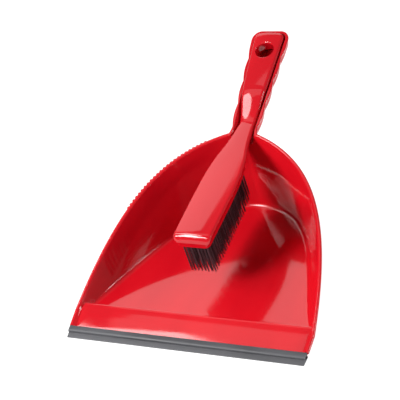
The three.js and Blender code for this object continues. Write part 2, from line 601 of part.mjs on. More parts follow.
// One row of tufts: the tufts hang from the root strip that the block's groove holds.
function tuftRow(row) {
  const y = rowY(row);
  const xs = rowTufts(row);
  const bottom = blockTop(y) - BLOCK_FLANGE;
  const strip = bottom - TUFT_ROOT_STRIP;
  const tip = bottom - TUFT_LENGTH;
  const shape = new THREE.Shape();
  const end = xs.at(-1) + TUFT_SIZE / 2;
  shape.moveTo(end, bottom + TUFT_ROOT);
  shape.lineTo(-end, bottom + TUFT_ROOT);
  for (const x of xs) {
    shape.lineTo(x - TUFT_SIZE / 2, strip);
    shape.lineTo(x - TUFT_TIP / 2, tip);
    shape.lineTo(x + TUFT_TIP / 2, tip);
    shape.lineTo(x + TUFT_SIZE / 2, strip);
  }
  const geometry = new THREE.ExtrudeGeometry(shape, { depth: TUFT_SIZE, bevelEnabled: false });
  geometry.rotateX(Math.PI / 2);
  geometry.translate(0, y + TUFT_SIZE / 2, 0);
  return toSolid(geometry);
}

// ---- The set ----
const red = () => new THREE.MeshStandardMaterial({ color: 0xd8121f, roughness: 0.18, metalness: 0 });
const grey = () => new THREE.MeshStandardMaterial({ color: 0x66666b, roughness: 0.6, metalness: 0 });
const dark = () => new THREE.MeshStandardMaterial({ color: 0x2a1c22, roughness: 0.55, metalness: 0 });

function part(name, solid, material) {
  const mesh = new THREE.Mesh(toGeometry(solid), material);
  mesh.name = name;
  return mesh;
}

const group = new THREE.Group();
group.position.set(0, -OVERALL_LENGTH / 2, 0);
group.add(part('pan_body', panBody(), red()));
group.add(part('lip_strip', lipStrip(), grey()));
group.add(part('brush_shell', brushShell(), red()));
group.add(part('tuft_block', tuftBlock(), red()));
for (let row = 0; row < TUFT_ROWS; row++) {
  group.add(part(`tuft_row_${String(row + 1).padStart(2, '0')}`, tuftRow(row), dark()));
}

export default group;
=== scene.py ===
"""Looks for a dust pan and brush set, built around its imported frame.

The set is a red moulded scoop with a soft grey lip, and a hand brush whose grip nests in
the scoop's hollow handle. Sizes are in millimetres, measured from the lip's front edge:
X runs across, Y towards the end of the handle and Z up. They become metres in the
frame's own place when a piece is made.
"""

from __future__ import annotations

import logging
import math
from collections.abc import Callable, Sequence
from dataclasses import dataclass, field
from enum import Enum

import bmesh
import bpy
from mathutils import Matrix, Vector

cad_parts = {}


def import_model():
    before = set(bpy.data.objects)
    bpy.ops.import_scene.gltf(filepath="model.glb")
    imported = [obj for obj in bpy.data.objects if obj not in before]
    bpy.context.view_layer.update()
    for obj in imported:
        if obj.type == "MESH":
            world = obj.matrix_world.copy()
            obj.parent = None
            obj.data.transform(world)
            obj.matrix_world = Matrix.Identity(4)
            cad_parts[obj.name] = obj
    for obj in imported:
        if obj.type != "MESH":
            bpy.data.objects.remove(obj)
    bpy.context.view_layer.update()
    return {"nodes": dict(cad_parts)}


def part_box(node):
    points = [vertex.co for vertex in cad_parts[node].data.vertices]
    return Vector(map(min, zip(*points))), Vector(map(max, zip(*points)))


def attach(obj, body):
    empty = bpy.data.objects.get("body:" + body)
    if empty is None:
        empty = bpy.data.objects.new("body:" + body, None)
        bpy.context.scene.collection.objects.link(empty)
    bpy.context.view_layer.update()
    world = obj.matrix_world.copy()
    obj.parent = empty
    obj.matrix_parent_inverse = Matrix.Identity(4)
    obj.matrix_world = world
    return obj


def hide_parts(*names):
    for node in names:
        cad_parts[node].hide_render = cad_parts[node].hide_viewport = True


LOG = logging.getLogger("pan_and_brush")
MM = 0.001
SHARP_ANGLE = math.radians(32)
WELD = 1e-6
NORMAL_WEIGHT = 60
CLOSEST_STATIONS = 0.05
GOLDEN_ANGLE = math.radians(137.5)
THROUGH = ((-30.0, 0.0), (30.0, 0.0))

Ring = list[Vector]
Height = Callable[[float], float]
Pairs = Sequence[tuple[float, float]]
Colour = tuple[float, float, float]
Thing = bpy.types.Object
Socket = bpy.types.NodeSocket


class Cut(Enum):
    """How one solid changes another."""

    JOIN = "UNION"
    AWAY = "DIFFERENCE"
    COMMON = "INTERSECT"


# ---------------------------------------------------------------- shape tools


def bezier(points: Sequence[Vector], steps: int) -> Ring:
    """Points along a cubic Bezier curve.

    Args:
        points: The curve's four control points.
        steps: How many stretches to divide it into.

    Returns:
        steps + 1 points, both ends included.
    """
    out: Ring = []
    for k in range(steps + 1):
        t = k / steps
        s = 1 - t
        weights = (s**3, 3 * s * s * t, 3 * s * t * t, t**3)
        out.append(sum((p * w for p, w in zip(points, weights)), Vector()))
    return out


def two_sided(right: Ring, middle: Ring = ()) -> Ring:
    """A right side, the points between, and the right side's mirror image."""
    return [*right, *middle, *(Vector((-p.x, p.y, p.z)) for p in reversed(right))]


def quarter(radius: float, steps: int) -> Pairs:
    """A quarter of a circle, as how far each point lies in and down from the corner.

    Args:
        radius: The circle's radius.
        steps: How many stretches to divide it into.

    Returns:
        steps + 1 pairs, from (0, radius) to (radius, 0).
    """
    angles = (math.pi / 2 * k / steps for k in range(steps + 1))
    return [(radius * (1 - math.cos(a)), radius * (1 - math.sin(a))) for a in angles]


def offset(outline: Ring, distance: float) -> Ring:
    """Moves an outline sideways; its two front corners keep their place along Y.

    Args:
        outline: Points from the right front corner round the back to the left one.
        distance: How far outwards, or inwards when it is negative.

    Returns:
        The moved outline.
    """
    last = len(outline) - 1
    moved: Ring = []
    for i, p in enumerate(outline):
        run = (outline[min(i + 1, last)] - outline[max(i - 1, 0)]).normalized()
        q = Vector((p.x + run.y * distance, p.y - run.x * distance, p.z))
        moved.append(Vector((q.x, p.y, p.z)) if i in (0, last) else q)
    return moved


def raised(outline: Ring, height: float | Height) -> Ring:
    """The outline lifted to a height, or to a height that depends on Y."""
    level = height if callable(height) else lambda _: height
    return [Vector((p.x, p.y, level(p.y))) for p in outline]


def between(low: Ring, high: Ring, share: float) -> Ring:
    """The ring a share of the way from one ring to another."""
    return [a.lerp(b, share) if share <= 1 else a + (b - a) * share for a, b in zip(low, high)]


def open_front(ring: Ring, y: float) -> Ring:
    """A ring whose two front corners run on to y, so that it cuts an open front."""
    first, last = ring[0], ring[-1]
    return [Vector((first.x, y, first.z)), *ring, Vector((last.x, y, last.z))]


def stations(start: float, end: float, step: float, extra: Sequence[float] = ()) -> list[float]:
    """Even places from start to end, with extra ones put in order among them.

    Args:
        start: The first place.
        end: The last place.
        step: The longest gap wanted.
        extra: More places between the two.

    Returns:
        The places in order, none too close to the one before.
    """
    count = math.ceil((end - start) / step)
    places = sorted([start + (end - start) * i / count for i in range(count + 1)] + list(extra))
    return [y for i, y in enumerate(places) if i == 0 or y - places[i - 1] > CLOSEST_STATIONS]


def rounded_end(half: float, from_end: float, radius: float) -> float:
    """A half width drawn in round the last stretch before an end."""
    if from_end >= radius:
        return half
    left = max(from_end, 0.0)
    return half - radius + math.sqrt(radius**2 - (radius - left) ** 2)


def smooth_line(knots: Pairs) -> Height:
    """A smooth curve through (place, value) knots.

    Args:
        knots: The places, in order, and the value at each.

    Returns:
        A function from place to value.
    """
    last = len(knots) - 1
    slopes = []
    for i in range(last + 1):
        a, b = knots[max(i - 1, 0)], knots[min(i + 1, last)]
        slopes.append((b[1] - a[1]) / (b[0] - a[0]))

    def value(place: float) -> float:
        """The curve's value at a place."""
        i = next((k for k in range(last) if knots[k + 1][0] > place), last - 1)
        (y0, v0), (y1, v1) = knots[i], knots[i + 1]
        run = y1 - y0
        t = min(max((place - y0) / run, 0.0), 1.0)
        start = v0 * (2 * t**3 - 3 * t**2 + 1) + slopes[i] * run * (t**3 - 2 * t**2 + t)
        end = v1 * (3 * t**2 - 2 * t**3) + slopes[i + 1] * run * (t**3 - t**2)
        return start + end

    return value


@dataclass(frozen=True)
class Workshop:
    """Makes meshes in the frame's place from shapes drawn in millimetres.

    Args:
        lip_front: The frame's Y, in metres, of the lip's front edge.
    """

    lip_front: float

    def place(self, p: Vector) -> Vector:
        """A drawn point in the frame, in metres."""
        return Vector((p.x * MM, p.y * MM + self.lip_front, p.z * MM))

    def solid(self, name: str, points: Sequence[Vector], faces: Sequence[Sequence[int]]) -> Thing:
        """A mesh object from points in millimetres.

        Args:
            name: The object's name.
            points: Its corners.
            faces: Its faces, by corner number.

        Returns:
            The new object, with its faces turned outwards.
        """
        mesh = bpy.data.meshes.new(name)
        mesh.from_pydata([self.place(p) for p in points], [], faces)
        obj = bpy.data.objects.new(name, mesh)
        bpy.context.scene.collection.objects.link(obj)
        work = bmesh.new()
        work.from_mesh(mesh)
        bmesh.ops.triangulate(work, faces=work.faces)
        bmesh.ops.recalc_face_normals(work, faces=work.faces)
        work.to_mesh(mesh)
        work.free()
        return obj

    def loft(self, name: str, rings: Sequence[Ring]) -> Thing:
        """A closed body through rings of equal point counts, each end closed by a fan.

        Args:
            name: The object's name.
            rings: The rings, in order.

        Returns:
            The new object.
        """
        count = len(rings[0])
        points = [p for ring in rings for p in ring]
        last = len(points) - count
        middles = [sum(ring, Vector()) / count for ring in (rings[0], rings[-1])]
        faces: list[tuple[int, ...]] = []
        for i in range(count):
            j = (i + 1) % count
            faces += [(k + i, k + j, k + j + count, k + i + count) for k in range(0, last, count)]
            faces += [(len(points), j, i), (len(points) + 1, last + i, last + j)]
        return self.solid(name, [*points, *middles], faces)

    def across(self, name: str, profile: Pairs, half: float, centre: float = 0.0) -> Thing:
        """A (Y, Z) profile run across the set.

        Args:
            name: The object's name.
            profile: The profile's corners, in order.
            half: Half its length along X.
            centre: The X of its middle.

        Returns:
            The new object.
        """
        n = len(profile)
        points = [Vector((centre + side * half, y, z)) for side in (-1, 1) for y, z in profile]
        faces = [tuple(range(n)), tuple(range(n, 2 * n))]
        faces += [(i, (i + 1) % n, (i + 1) % n + n, i + n) for i in range(n)]
        return self.solid(name, points, faces)


def combine(target: Thing, tool: Thing, how: Cut) -> Thing:
    """Joins a solid to another, or cuts it away, and removes the tool.

    Args:
        target: The solid that stays.
        tool: The solid that is used up.
        how: Whether the tool is joined or cut away.

    Returns:
        The target, changed.
    """
    step = target.modifiers.new("combine", "BOOLEAN")
    step.operation = how.value
    step.solver = "MANIFOLD"
    step.object = tool
    bake(target)
    bpy.data.objects.remove(tool)
    return target


def bake(obj: Thing) -> Thing:
    """Turns an object's modifiers into its mesh."""
    graph = bpy.context.evaluated_depsgraph_get()
    graph.update()
    mesh = bpy.data.meshes.new_from_object(obj.evaluated_get(graph))
    old = obj.data
    obj.modifiers.clear()
    obj.data = mesh
    mesh.name = obj.name
    if isinstance(old, bpy.types.Mesh):
        bpy.data.meshes.remove(old)
    return obj


def smooth(obj: Thing) -> Thing:
    """Welds an object, shades its curves smooth and keeps its corners crisp."""
    work = bmesh.new()
    work.from_mesh(obj.data)
    bmesh.ops.remove_doubles(work, verts=work.verts, dist=WELD)
    bmesh.ops.dissolve_degenerate(work, edges=work.edges, dist=WELD)
    for face in work.faces:
        face.smooth = True
    for edge in work.edges:
        edge.smooth = len(edge.link_faces) == 2 and edge.calc_face_angle(math.pi) < SHARP_ANGLE
    work.to_mesh(obj.data)
    work.free()
    weights = obj.modifiers.new("weights", "WEIGHTED_NORMAL")
    weights.keep_sharp = True
    weights.weight = NORMAL_WEIGHT
    return bake(obj)


# ---------------------------------------------------------------- finishes


class Wiring:
    """Adds nodes to a tree and fills their inputs."""

    def __init__(self, tree: bpy.types.NodeTree) -> None:
        """Takes the tree to work in."""
        self.tree = tree

    def fill(self, node: bpy.types.Node, inputs: dict[str | int, object]) -> None:
        """Sets each input to a value, or links it to the socket that feeds it."""
        for key, value in inputs.items():
            if isinstance(value, Socket):
                self.tree.links.new(value, node.inputs[key])
            else:
                node.inputs[key].default_value = value

    def node(self, kind: str, inputs: dict[str | int, object] | None = None, **values: object
             ) -> bpy.types.Node:
        """Adds a node, sets its properties and fills its inputs.

        Args:
            kind: The node's type name.
            inputs: For each input, a value or the socket that feeds it.
            **values: Properties of the node.

        Returns:
            The new node.
        """
        made = self.tree.nodes.new(kind)
        for key, value in values.items():
            setattr(made, key, value)
        self.fill(made, inputs or {})
        return made

    def out(self, kind: str, inputs: dict[str | int, object] | None = None, **values: object) -> Socket:
        """Adds a node in the same way, and gives its first output."""
        return self.node(kind, inputs, **values).outputs[0]


class Graph(Wiring):
    """A material's nodes, round its Principled shader."""

    def __init__(self, name: str) -> None:
        """Makes a material with a Principled shader.

        Args:
            name: The material's name.
        """
        self.material = bpy.data.materials.new(name)
        self.material.use_nodes = True
        super().__init__(self.material.node_tree)

    def noise(self, scale: float, detail: float, stretch: tuple[float, float, float] = (1, 1, 1)) -> Socket:
        """Noise on the piece's own coordinates.

        Args:
            scale: Cells per metre.
            detail: Octaves.
            stretch: Scale along each axis.

        Returns:
            The noise's value.
        """
        coords = self.node("ShaderNodeTexCoord").outputs["Object"]
        place = self.out("ShaderNodeMapping", {"Vector": coords, "Scale": stretch})
        noise = self.node("ShaderNodeTexNoise", {"Vector": place, "Scale": scale, "Detail": detail})
        return noise.outputs["Fac"]

    def between(self, value: Socket, low: float, high: float) -> Socket:
        """Maps the middle of a noise's range onto the range from low to high."""
        return self.out("ShaderNodeMapRange", {
            "Value": value, "From Min": 0.3, "From Max": 0.7, "To Min": low, "To Max": high})

    def colours(self, value: Socket, stops: Sequence[tuple[float, Colour]]) -> Socket:
        """A colour ramp over a value.

        Args:
            value: The value from 0 to 1.
            stops: Two places and the colour at each.

        Returns:
            The colour.
        """
        ramp = self.node("ShaderNodeValToRGB", {"Fac": value})
        for element, (place, colour) in zip(ramp.color_ramp.elements, stops):
            element.position = place
            element.color = (*colour, 1.0)
        return ramp.outputs["Color"]

    def bumps(self, layers: Sequence[tuple[Socket, float, float]]) -> Socket:
        """A surface raised by layers of height.

        Args:
            layers: Each layer's height, strength and depth in metres.

        Returns:
            The surface's normal.
        """
        below: dict[str | int, object] = {}
        for height, strength, depth in layers:
            bump = self.out("ShaderNodeBump", {
                "Strength": strength, "Distance": depth, "Height": height, **below})
            below = {"Normal": bump}
        return bump

    def finish(self, inputs: dict[str | int, object]) -> bpy.types.Material:
        """The material, with the shader's inputs filled."""
        self.fill(self.tree.nodes["Principled BSDF"], inputs)
        return self.material


@dataclass(frozen=True)
class GlossyRed:
    """Red moulded plastic, polished by its mould, with a faint orange peel."""

    name: str = "glossy_red_plastic"
    deep: Colour = (0.54, 0.003, 0.010)
    bright: Colour = (0.66, 0.006, 0.014)
    polish: tuple[float, float] = (0.045, 0.11)
    flow: tuple[float, float, Colour] = (14.0, 3.0, (1.0, 0.35, 1.0))
    peel: tuple[float, float] = (420.0, 2.0)
    grain: tuple[float, float] = (5200.0, 3.0)
    peel_depth: float = 0.00003

    def material(self) -> bpy.types.Material:
        """The finished material."""
        graph = Graph(self.name)
        flow, peel, grain = graph.noise(*self.flow), graph.noise(*self.peel), graph.noise(*self.grain)
        return graph.finish({
            "Base Color": graph.colours(flow, ((0.35, self.deep), (0.65, self.bright))),
            "Roughness": graph.between(flow, *self.polish),
            "Normal": graph.bumps(((peel, 0.12, self.peel_depth), (grain, 0.04, self.peel_depth / 3))),
            "IOR": 1.49, "Specular IOR Level": 0.5})


@dataclass(frozen=True)
class SoftRubber:
    """Grey rubber, matte, with a dusty bloom."""

    name: str = "soft_grey_rubber"
    shade: Colour = (0.046, 0.046, 0.052)
    dust: Colour = (0.095, 0.095, 0.105)
    roughness: tuple[float, float] = (0.42, 0.6)
    bloom: tuple[float, float, Colour] = (90.0, 4.0, (0.25, 1.0, 1.0))
    grain: tuple[float, float] = (2600.0, 3.0)

    def material(self) -> bpy.types.Material:
        """The finished material."""
        graph = Graph(self.name)
        bloom, grain = graph.noise(*self.bloom), graph.noise(*self.grain)
        return graph.finish({
            "Base Color": graph.colours(bloom, ((0.3, self.shade), (0.75, self.dust))),
            "Roughness": graph.between(bloom, *self.roughness),
            "Normal": graph.bumps(((bloom, 0.1, 0.00008), (grain, 0.25, 0.00003))),
            "Specular IOR Level": 0.45})


@dataclass(frozen=True)
class DarkFilament:
    """Dark drawn bristle; each filament has its own shade."""

    name: str = "dark_bristle"
    attribute: str = "filament_shade"
    dark: Colour = (0.010, 0.006, 0.008)
    light: Colour = (0.12, 0.065, 0.08)
    roughness: tuple[float, float] = (0.28, 0.45)
    streak: tuple[float, float, Colour] = (900.0, 2.0, (1.0, 1.0, 0.1))

    def material(self) -> bpy.types.Material:
        """The finished material."""
        graph = Graph(self.name)
        shade = graph.node("ShaderNodeAttribute", attribute_name=self.attribute).outputs["Fac"]
        streak = graph.noise(*self.streak)
        return graph.finish({
            "Base Color": graph.colours(shade, ((0.1, self.dark), (0.95, self.light))),
            "Roughness": graph.between(streak, *self.roughness),
            "Normal": graph.bumps(((streak, 0.15, 0.00002),))})


@dataclass(frozen=True)
class PaleFloor:
    """A plain pale studio floor."""

    name: str = "pale_floor"
    low: Colour = (0.22, 0.22, 0.22)
    high: Colour = (0.24, 0.24, 0.24)
    glow: float = 0.97

    def material(self) -> bpy.types.Material:
        """The finished material."""
        graph = Graph(self.name)
        return graph.finish({
            "Base Color": graph.colours(graph.noise(3.0, 2.0), ((0.3, self.low), (0.7, self.high))),
            "Roughness": 0.9, "Specular IOR Level": 0.1,
            "Emission Color": (1.0, 1.0, 1.0, 1.0), "Emission Strength": self.glow})


def dress(obj: Thing, material: bpy.types.Material) -> Thing:
    """Gives an object one material all over."""
    obj.data.materials.clear()
    obj.data.materials.append(material)
    for face in obj.data.polygons:
        face.material_index = 0
    return obj


# ---------------------------------------------------------------- repeating pieces


class Repeater(Wiring):
    """A Geometry Nodes tree with named inputs, run on an object and baked."""

    def __init__(self, name: str) -> None:
        """Starts a tree with a geometry going in and out.

        Args:
            name: The tree's name.
        """
        super().__init__(bpy.data.node_groups.new(name, "GeometryNodeTree"))
        for way in ("INPUT", "OUTPUT"):
            self.tree.interface.new_socket("Geometry", in_out=way, socket_type="NodeSocketGeometry")
        self.entry = self.tree.nodes.new("NodeGroupInput")
        self.exit = self.tree.nodes.new("NodeGroupOutput")
        self.values: dict[str, object] = {}

    def size(self, name: str, value: object, kind: str = "Float") -> Socket:
        """Adds a named input and remembers its value.

        Args:
            name: The input's name.
            value: What to set on the modifier.
            kind: Its socket type.

        Returns:
            The input inside the tree.
        """
        socket = self.tree.interface.new_socket(name, in_out="INPUT", socket_type="NodeSocket" + kind)
        self.values[socket.identifier] = value
        return self.entry.outputs[name]

    def sum_of(self, operation: str, a: object, b: object = 0.0) -> Socket:
        """The result of one sum on two values."""
        return self.out("ShaderNodeMath", {0: a, 1: b}, operation=operation)

    def times(self, a: object, b: object) -> Socket:
        """One value times another."""
        return self.sum_of("MULTIPLY", a, b)

    def vector(self, operation: str, inputs: dict[str | int, object]) -> Socket:
        """The result of one sum on vectors."""
        return self.out("ShaderNodeVectorMath", inputs, operation=operation)

    def point(self, **parts: object) -> Socket:
        """A vector from its parts X, Y and Z."""
        return self.out("ShaderNodeCombineXYZ", parts)

    def scatter(self, low: Colour, high: Colour, seed: Socket) -> Socket:
        """A random vector between two corners."""
        return self.out("FunctionNodeRandomValue", {"Min": low, "Max": high, "Seed": seed},
                        data_type="FLOAT_VECTOR")

    def finish(self, instances: Socket, material: bpy.types.Material) -> Repeater:
        """Closes the tree: real meshes, shaded smooth, in one material.

        Args:
            instances: The instances to make real.
            material: What they are made of.

        Returns:
            This tree.
        """
        skin = self.size("Material", material, "Material")
        real = self.out("GeometryNodeRealizeInstances", {"Geometry": instances})
        soft = self.out("GeometryNodeSetShadeSmooth", {"Geometry": real})
        clad = self.out("GeometryNodeSetMaterial", {"Geometry": soft, "Material": skin})
        self.tree.links.new(clad, self.exit.inputs[0])
        return self

    def run(self, obj: Thing) -> Thing:
        """Runs the tree on an object and turns the result into a plain mesh object.

        Args:
            obj: The object whose geometry goes in. It is used up.

        Returns:
            A mesh object with the same name.
        """
        step = obj.modifiers.new("repeat", "NODES")
        step.node_group = self.tree
        for identifier, value in self.values.items():
            step[identifier] = value
        graph = bpy.context.evaluated_depsgraph_get()
        graph.update()
        mesh = bpy.data.meshes.new_from_object(obj.evaluated_get(graph))
        name = obj.name
        bpy.data.objects.remove(obj)
        made = bpy.data.objects.new(name, mesh)
        mesh.name = name
        bpy.context.scene.collection.objects.link(made)
        return made


# ---------------------------------------------------------------- the scoop


@dataclass
class Scoop:
    """The red scoop with its beaded rim, ramp, comb and hollow handle."""

    shop: Workshop
    wall: float = 2.2
    rim_half_width: float = 116.0
    length: float = 200.5
    handle_length: float = 96.0
    rim_angle: float = math.radians(22.5)
    rim_start: tuple[float, float] = (26.0, 10.0)
    rim_front_inset: float = 0.5
    rim_side_reach: tuple[float, float] = (10.5, 106.0)
    rim_back_reach: tuple[float, float] = (74.0, 20.0)
    bead_width: float = 3.2
    bead_height: float = 3.2
    bead_overhang: float = 1.0
    bead_round: float = 1.5
    bead_steps: int = 6
    bead_neck: tuple[float, float] = (0.9, 0.05)
    bead_under: tuple[float, float, float] = (0.35, 0.1, 0.15)
    bead_side: tuple[float, float] = (0.7, 0.3)
    bead_crown: Pairs = ((1.9, 0.03), (2.4, 0.16), (2.9, 0.45), (3.4, 0.95), (6.0, 3.0))
    front_wall_height: float = 5.4
    floor_top: float = 3.0
    floor_front_inset: float = 10.0
    floor_front_y: float = 40.0
    floor_back_inset: float = 15.0
    floor_side_reach: tuple[float, float] = (24.0, 52.0)
    floor_back_reach: float = 66.0
    floor_fillet: float = 3.4
    fillet_shares: tuple[float, ...] = (0.12, 0.26, 0.42, 0.58, 0.74, 0.88, 1.0)
    wall_shares: tuple[float, ...] = (0.08, 0.35, 0.7, 1.0, 1.3)
    foot_edge: Pairs = ((-1.2, 0.0), (0.5, 0.35), (1.5, 1.3))
    open_front_y: float = -30.0
    foot_ring: float = 9.0
    foot_recess: float = 0.8
    front_y: float = 10.6
    ramp_foot_inset: float = 4.0
    ramp_front_height: float = 4.6
    ridge_y: float = 34.5
    ridge_height: float = 9.3
    ridge_step: float = 3.0
    ramp_pockets: int = 6
    rib: float = 1.8
    comb_pitch: float = 4.0
    comb_teeth: int = 24
    comb_start: float = 38.0
    tooth_reach: float = 1.6
    tooth_length: float = 2.4
    tooth_thickness: float = 1.8
    tooth_drop: float = 1.2
    trough_depth: float = 11.0
    trough_half: tuple[float, float] = (10.4, 15.8)
    trough_corner: float = 9.0
    trough_draft: float = 1.0
    trough_edge: Pairs = ((0.9, 6.0), (0.9, 0.3), (0.35, -0.25), (0.0, -0.9))
    corner_steps: int = 12
    handle_end_radius: float = 9.0
    handle_edge: float = 1.0
    handle_edge_steps: int = 5
    handle_step: float = 1.5
    near_its_end: tuple[float, ...] = (0.1, 0.4, 0.9, 1.6, 2.5, 3.6, 4.9, 6.4, 8.0)
    mouth_radius: float = 22.0
    lobe_pitch: float = 22.4
    lobe_rise: float = 1.4
    lobe_first_notch: float = 27.0
    lobe_notches: int = 4
    beside_a_notch: float = 0.5
    hole_from_end: float = 23.0
    hole_half: tuple[float, float] = (9.0, 7.6)
    pan_hole: tuple[float, float] = (4.0, 4.0)
    pan_hole_from_end: float = 24.5
    hole_steps: int = 64
    tongue: tuple[float, float, float, float] = (1.2, 1.6, 4.5, 5.0)
    outline_steps: int = 84

    @property
    def overall(self) -> float:
        """From the lip's front edge to the end of the handle."""
        return self.length + self.handle_length

    @property
    def upright(self) -> float:
        """Turns a depth across the handle's slope into a height."""
        return 1 / math.cos(self.rim_angle)

    @property
    def trough_drop(self) -> float:
        """Height from the trough's bottom to the rim's plane."""
        return self.trough_depth * self.upright

    def rim_plane(self, y: float) -> float:
        """Height of the sloping plane that the rim and the handle lie in."""
        return self.rim_start[1] + math.tan(self.rim_angle) * (y - self.rim_start[0])

    def rim_line(self, y: float) -> float:
        """Height of the rim, which levels off just behind the lip."""
        return max(self.rim_plane(y), self.front_wall_height)

    def outline(self, half: float, start: float, back: float, controls: Ring, front: float) -> Ring:
        """A closed-back outline seen from above, from its right front corner to its left one.

        Args:
            half: The half width where its curve starts.
            start: The Y where its curve starts.
            back: The Y of its back point.
            controls: The curve's two middle control points.
            front: The half width at the scoop's front edge.

        Returns:
            The outline.
        """
        curve = bezier([Vector((half, start, 0)), *controls, Vector((0, back, 0))], self.outline_steps)
        half_ring = [Vector((front, self.front_y, 0)), *curve]
        return two_sided(half_ring[:-1], half_ring[-1:])

    def rim_outline(self) -> Ring:
        """The rim's outer edge."""
        half, back, (y, _) = self.rim_half_width, self.length, self.rim_start
        side, rear = self.rim_side_reach, self.rim_back_reach
        controls = [Vector((half - side[0], y + side[1], 0)), Vector((rear[0], back - rear[1], 0))]
        return self.outline(half, y, back, controls, half - self.rim_front_inset)

    def floor_outline(self) -> Ring:
        """The crease between the floor and the walls."""
        half, back = self.rim_half_width - self.floor_front_inset, self.length - self.floor_back_inset
        y, side = self.floor_front_y, self.floor_side_reach
        controls = [Vector((half - side[0], y + side[1], 0)), Vector((self.floor_back_reach, back, 0))]
        return self.outline(half, y, back, controls, self.rim_half_width - self.ramp_foot_inset)

    def trough_half_at(self, y: float) -> float:
        """Inner half width of the hollow handle, flaring into the scoop at its mouth."""
        share = min(max((y - self.length) / self.handle_length, 0.0), 1.0)
        straight = self.trough_half[0] + (self.trough_half[1] - self.trough_half[0]) * share
        into = min(max(self.length - y, 0.0), self.mouth_radius)
        return straight + self.mouth_radius - math.sqrt(self.mouth_radius**2 - into**2)

    def lobe(self, y: float) -> float:
        """How far the handle's finger lobes stand out at y."""
        turn = math.pi * (self.overall - self.lobe_first_notch - y) / self.lobe_pitch
        rise = math.sin(min(-turn, math.pi / 2)) if turn < 0 else abs(math.sin(turn))
        return self.lobe_rise * rise

    def outside(self) -> Thing:
        """The scoop's outer form, solid inside, with the rounded bead round its rim."""
        rim, floor = self.rim_outline(), self.floor_outline()
        foot = raised(offset(floor, self.wall), self.floor_top)
        top = raised(offset(rim, -self.bead_overhang), self.rim_line)
        below, least = self.bead_neck
        drop = self.bead_height + below
        neck = [a.lerp(b, max(least, 1 - drop / max(b.z - a.z, 0.1))) for a, b in zip(foot, top)]
        under_in, under_rise, under_least = self.bead_under
        side_rise, side_least = self.bead_side
        under = [Vector((p.x, p.y, max(self.rim_line(p.y) - self.bead_height + under_rise,
                                       n.z + under_least)))
                 for p, n in zip(offset(rim, -under_in), neck)]
        side = [Vector((p.x, p.y, max(self.rim_line(p.y) - self.bead_height + side_rise,
                                      u.z + side_least)))
                for p, u in zip(rim, under)]
        rings = [raised(offset(floor, out), height) for out, height in self.foot_edge]
        rings += [foot, between(foot, neck, 0.35), between(foot, neck, 0.7), neck, under, side]
        for into, down in (*quarter(self.bead_round, self.bead_steps), *self.bead_crown):
            rings.append(raised(offset(rim, -into), lambda y, d=down: self.rim_line(y) - d))
        return self.shop.loft("scoop_outside", rings)

    @property
    def ramp_rise(self) -> float:
        """The ramp's slope."""
        return (self.ridge_height - self.ramp_front_height) / (self.ridge_y - self.front_y)

    def ramp(self) -> Thing:
        """The ramp behind the lip, with its rounded ridge."""
        front, ridge, crest = self.front_y - 1, self.ridge_y, self.ridge_y + 1
        rise, top, foot, floor = self.ramp_rise, self.ridge_height, crest + self.ridge_step, self.floor_top
        profile = [(front, -1), (front, self.ramp_front_height - rise),
                   (ridge - 1.6, top - 1.6 * rise), (ridge - 0.6, top - 0.6 * rise + 0.14),
                   (ridge + 0.1, top),
                   (crest - 0.2, top - 0.12), (crest + 0.25, top - 0.6), (crest + 0.7, top - 1.5),
                   (foot - 0.5, floor + 0.5), (foot, floor + 0.12), (foot + 0.6, floor - 1), (foot + 0.6, -1)]
        return self.shop.across("ramp", profile, 2 * self.rim_half_width)

    def inside(self) -> Thing:
        """The space that the walls and the ramp leave, open at the front."""
        rim, floor = self.rim_outline(), self.floor_outline()
        foot = raised(floor, self.floor_top)
        top = raised(offset(rim, -self.bead_width), self.rim_line)
        start = raised(offset(floor, -self.floor_fillet), self.floor_top)
        end = [a.lerp(b, min(0.5, self.floor_fillet / (b - a).length)) for a, b in zip(foot, top)]
        rings = [raised(offset(floor, -self.floor_fillet - 1.5), self.floor_top), start]
        for t in self.fillet_shares:
            rings.append([a.lerp(c, t).lerp(c.lerp(b, t), t) for a, b, c in zip(start, end, foot)])
        rings += [between(end, top, share) for share in self.wall_shares]
        space = self.shop.loft("scoop_inside", [open_front(ring, self.open_front_y) for ring in rings])
        return combine(space, self.ramp(), Cut.AWAY)

    def handle_ring(self, y: float, edge: Ring, half: float, drop: float, full_corner: float) -> Ring:
        """A U-shaped ring of the handle: a top edge, then wide rounded corners.

        Args:
            y: Its place.
            edge: The right side's points at the top, from the middle outwards.
            half: Its half width below that edge.
            drop: Its depth below the rim's plane.
            full_corner: The radius of its bottom corners, where there is room.

        Returns:
            The ring.
        """
        corner = min(full_corner, half - self.trough_draft - 0.3)
        side, foot = half - self.trough_draft, self.rim_plane(y) - drop
        bottom = [Vector((side - into, y, foot + up)) for into, up in quarter(corner, self.corner_steps)]
        return two_sided([*edge, *bottom])

    def handle_outside(self) -> Thing:
        """The handle's outer form, with finger lobes down its sides."""
        near = [self.overall - d for d in self.near_its_end]
        notches = [self.overall - self.lobe_first_notch - n * self.lobe_pitch
                   for n in range(self.lobe_notches)]
        beside = [n + d for n in notches for d in (-self.beside_a_notch, 0, self.beside_a_notch)]
        drop, rings = self.trough_drop + self.wall * self.upright, []
        for y in stations(self.length - self.mouth_radius, self.overall, self.handle_step, near + beside):
            half = self.trough_half_at(y) + self.wall + self.lobe(y)
            half = rounded_end(half, self.overall - y, self.handle_end_radius)
            edge = [Vector((half - into, y, self.rim_plane(y) - down))
                    for down, into in quarter(self.handle_edge, self.handle_edge_steps)]
            rings.append(self.handle_ring(y, edge, half, drop, self.trough_corner + self.wall))
        return self.shop.loft("handle_outside", rings)

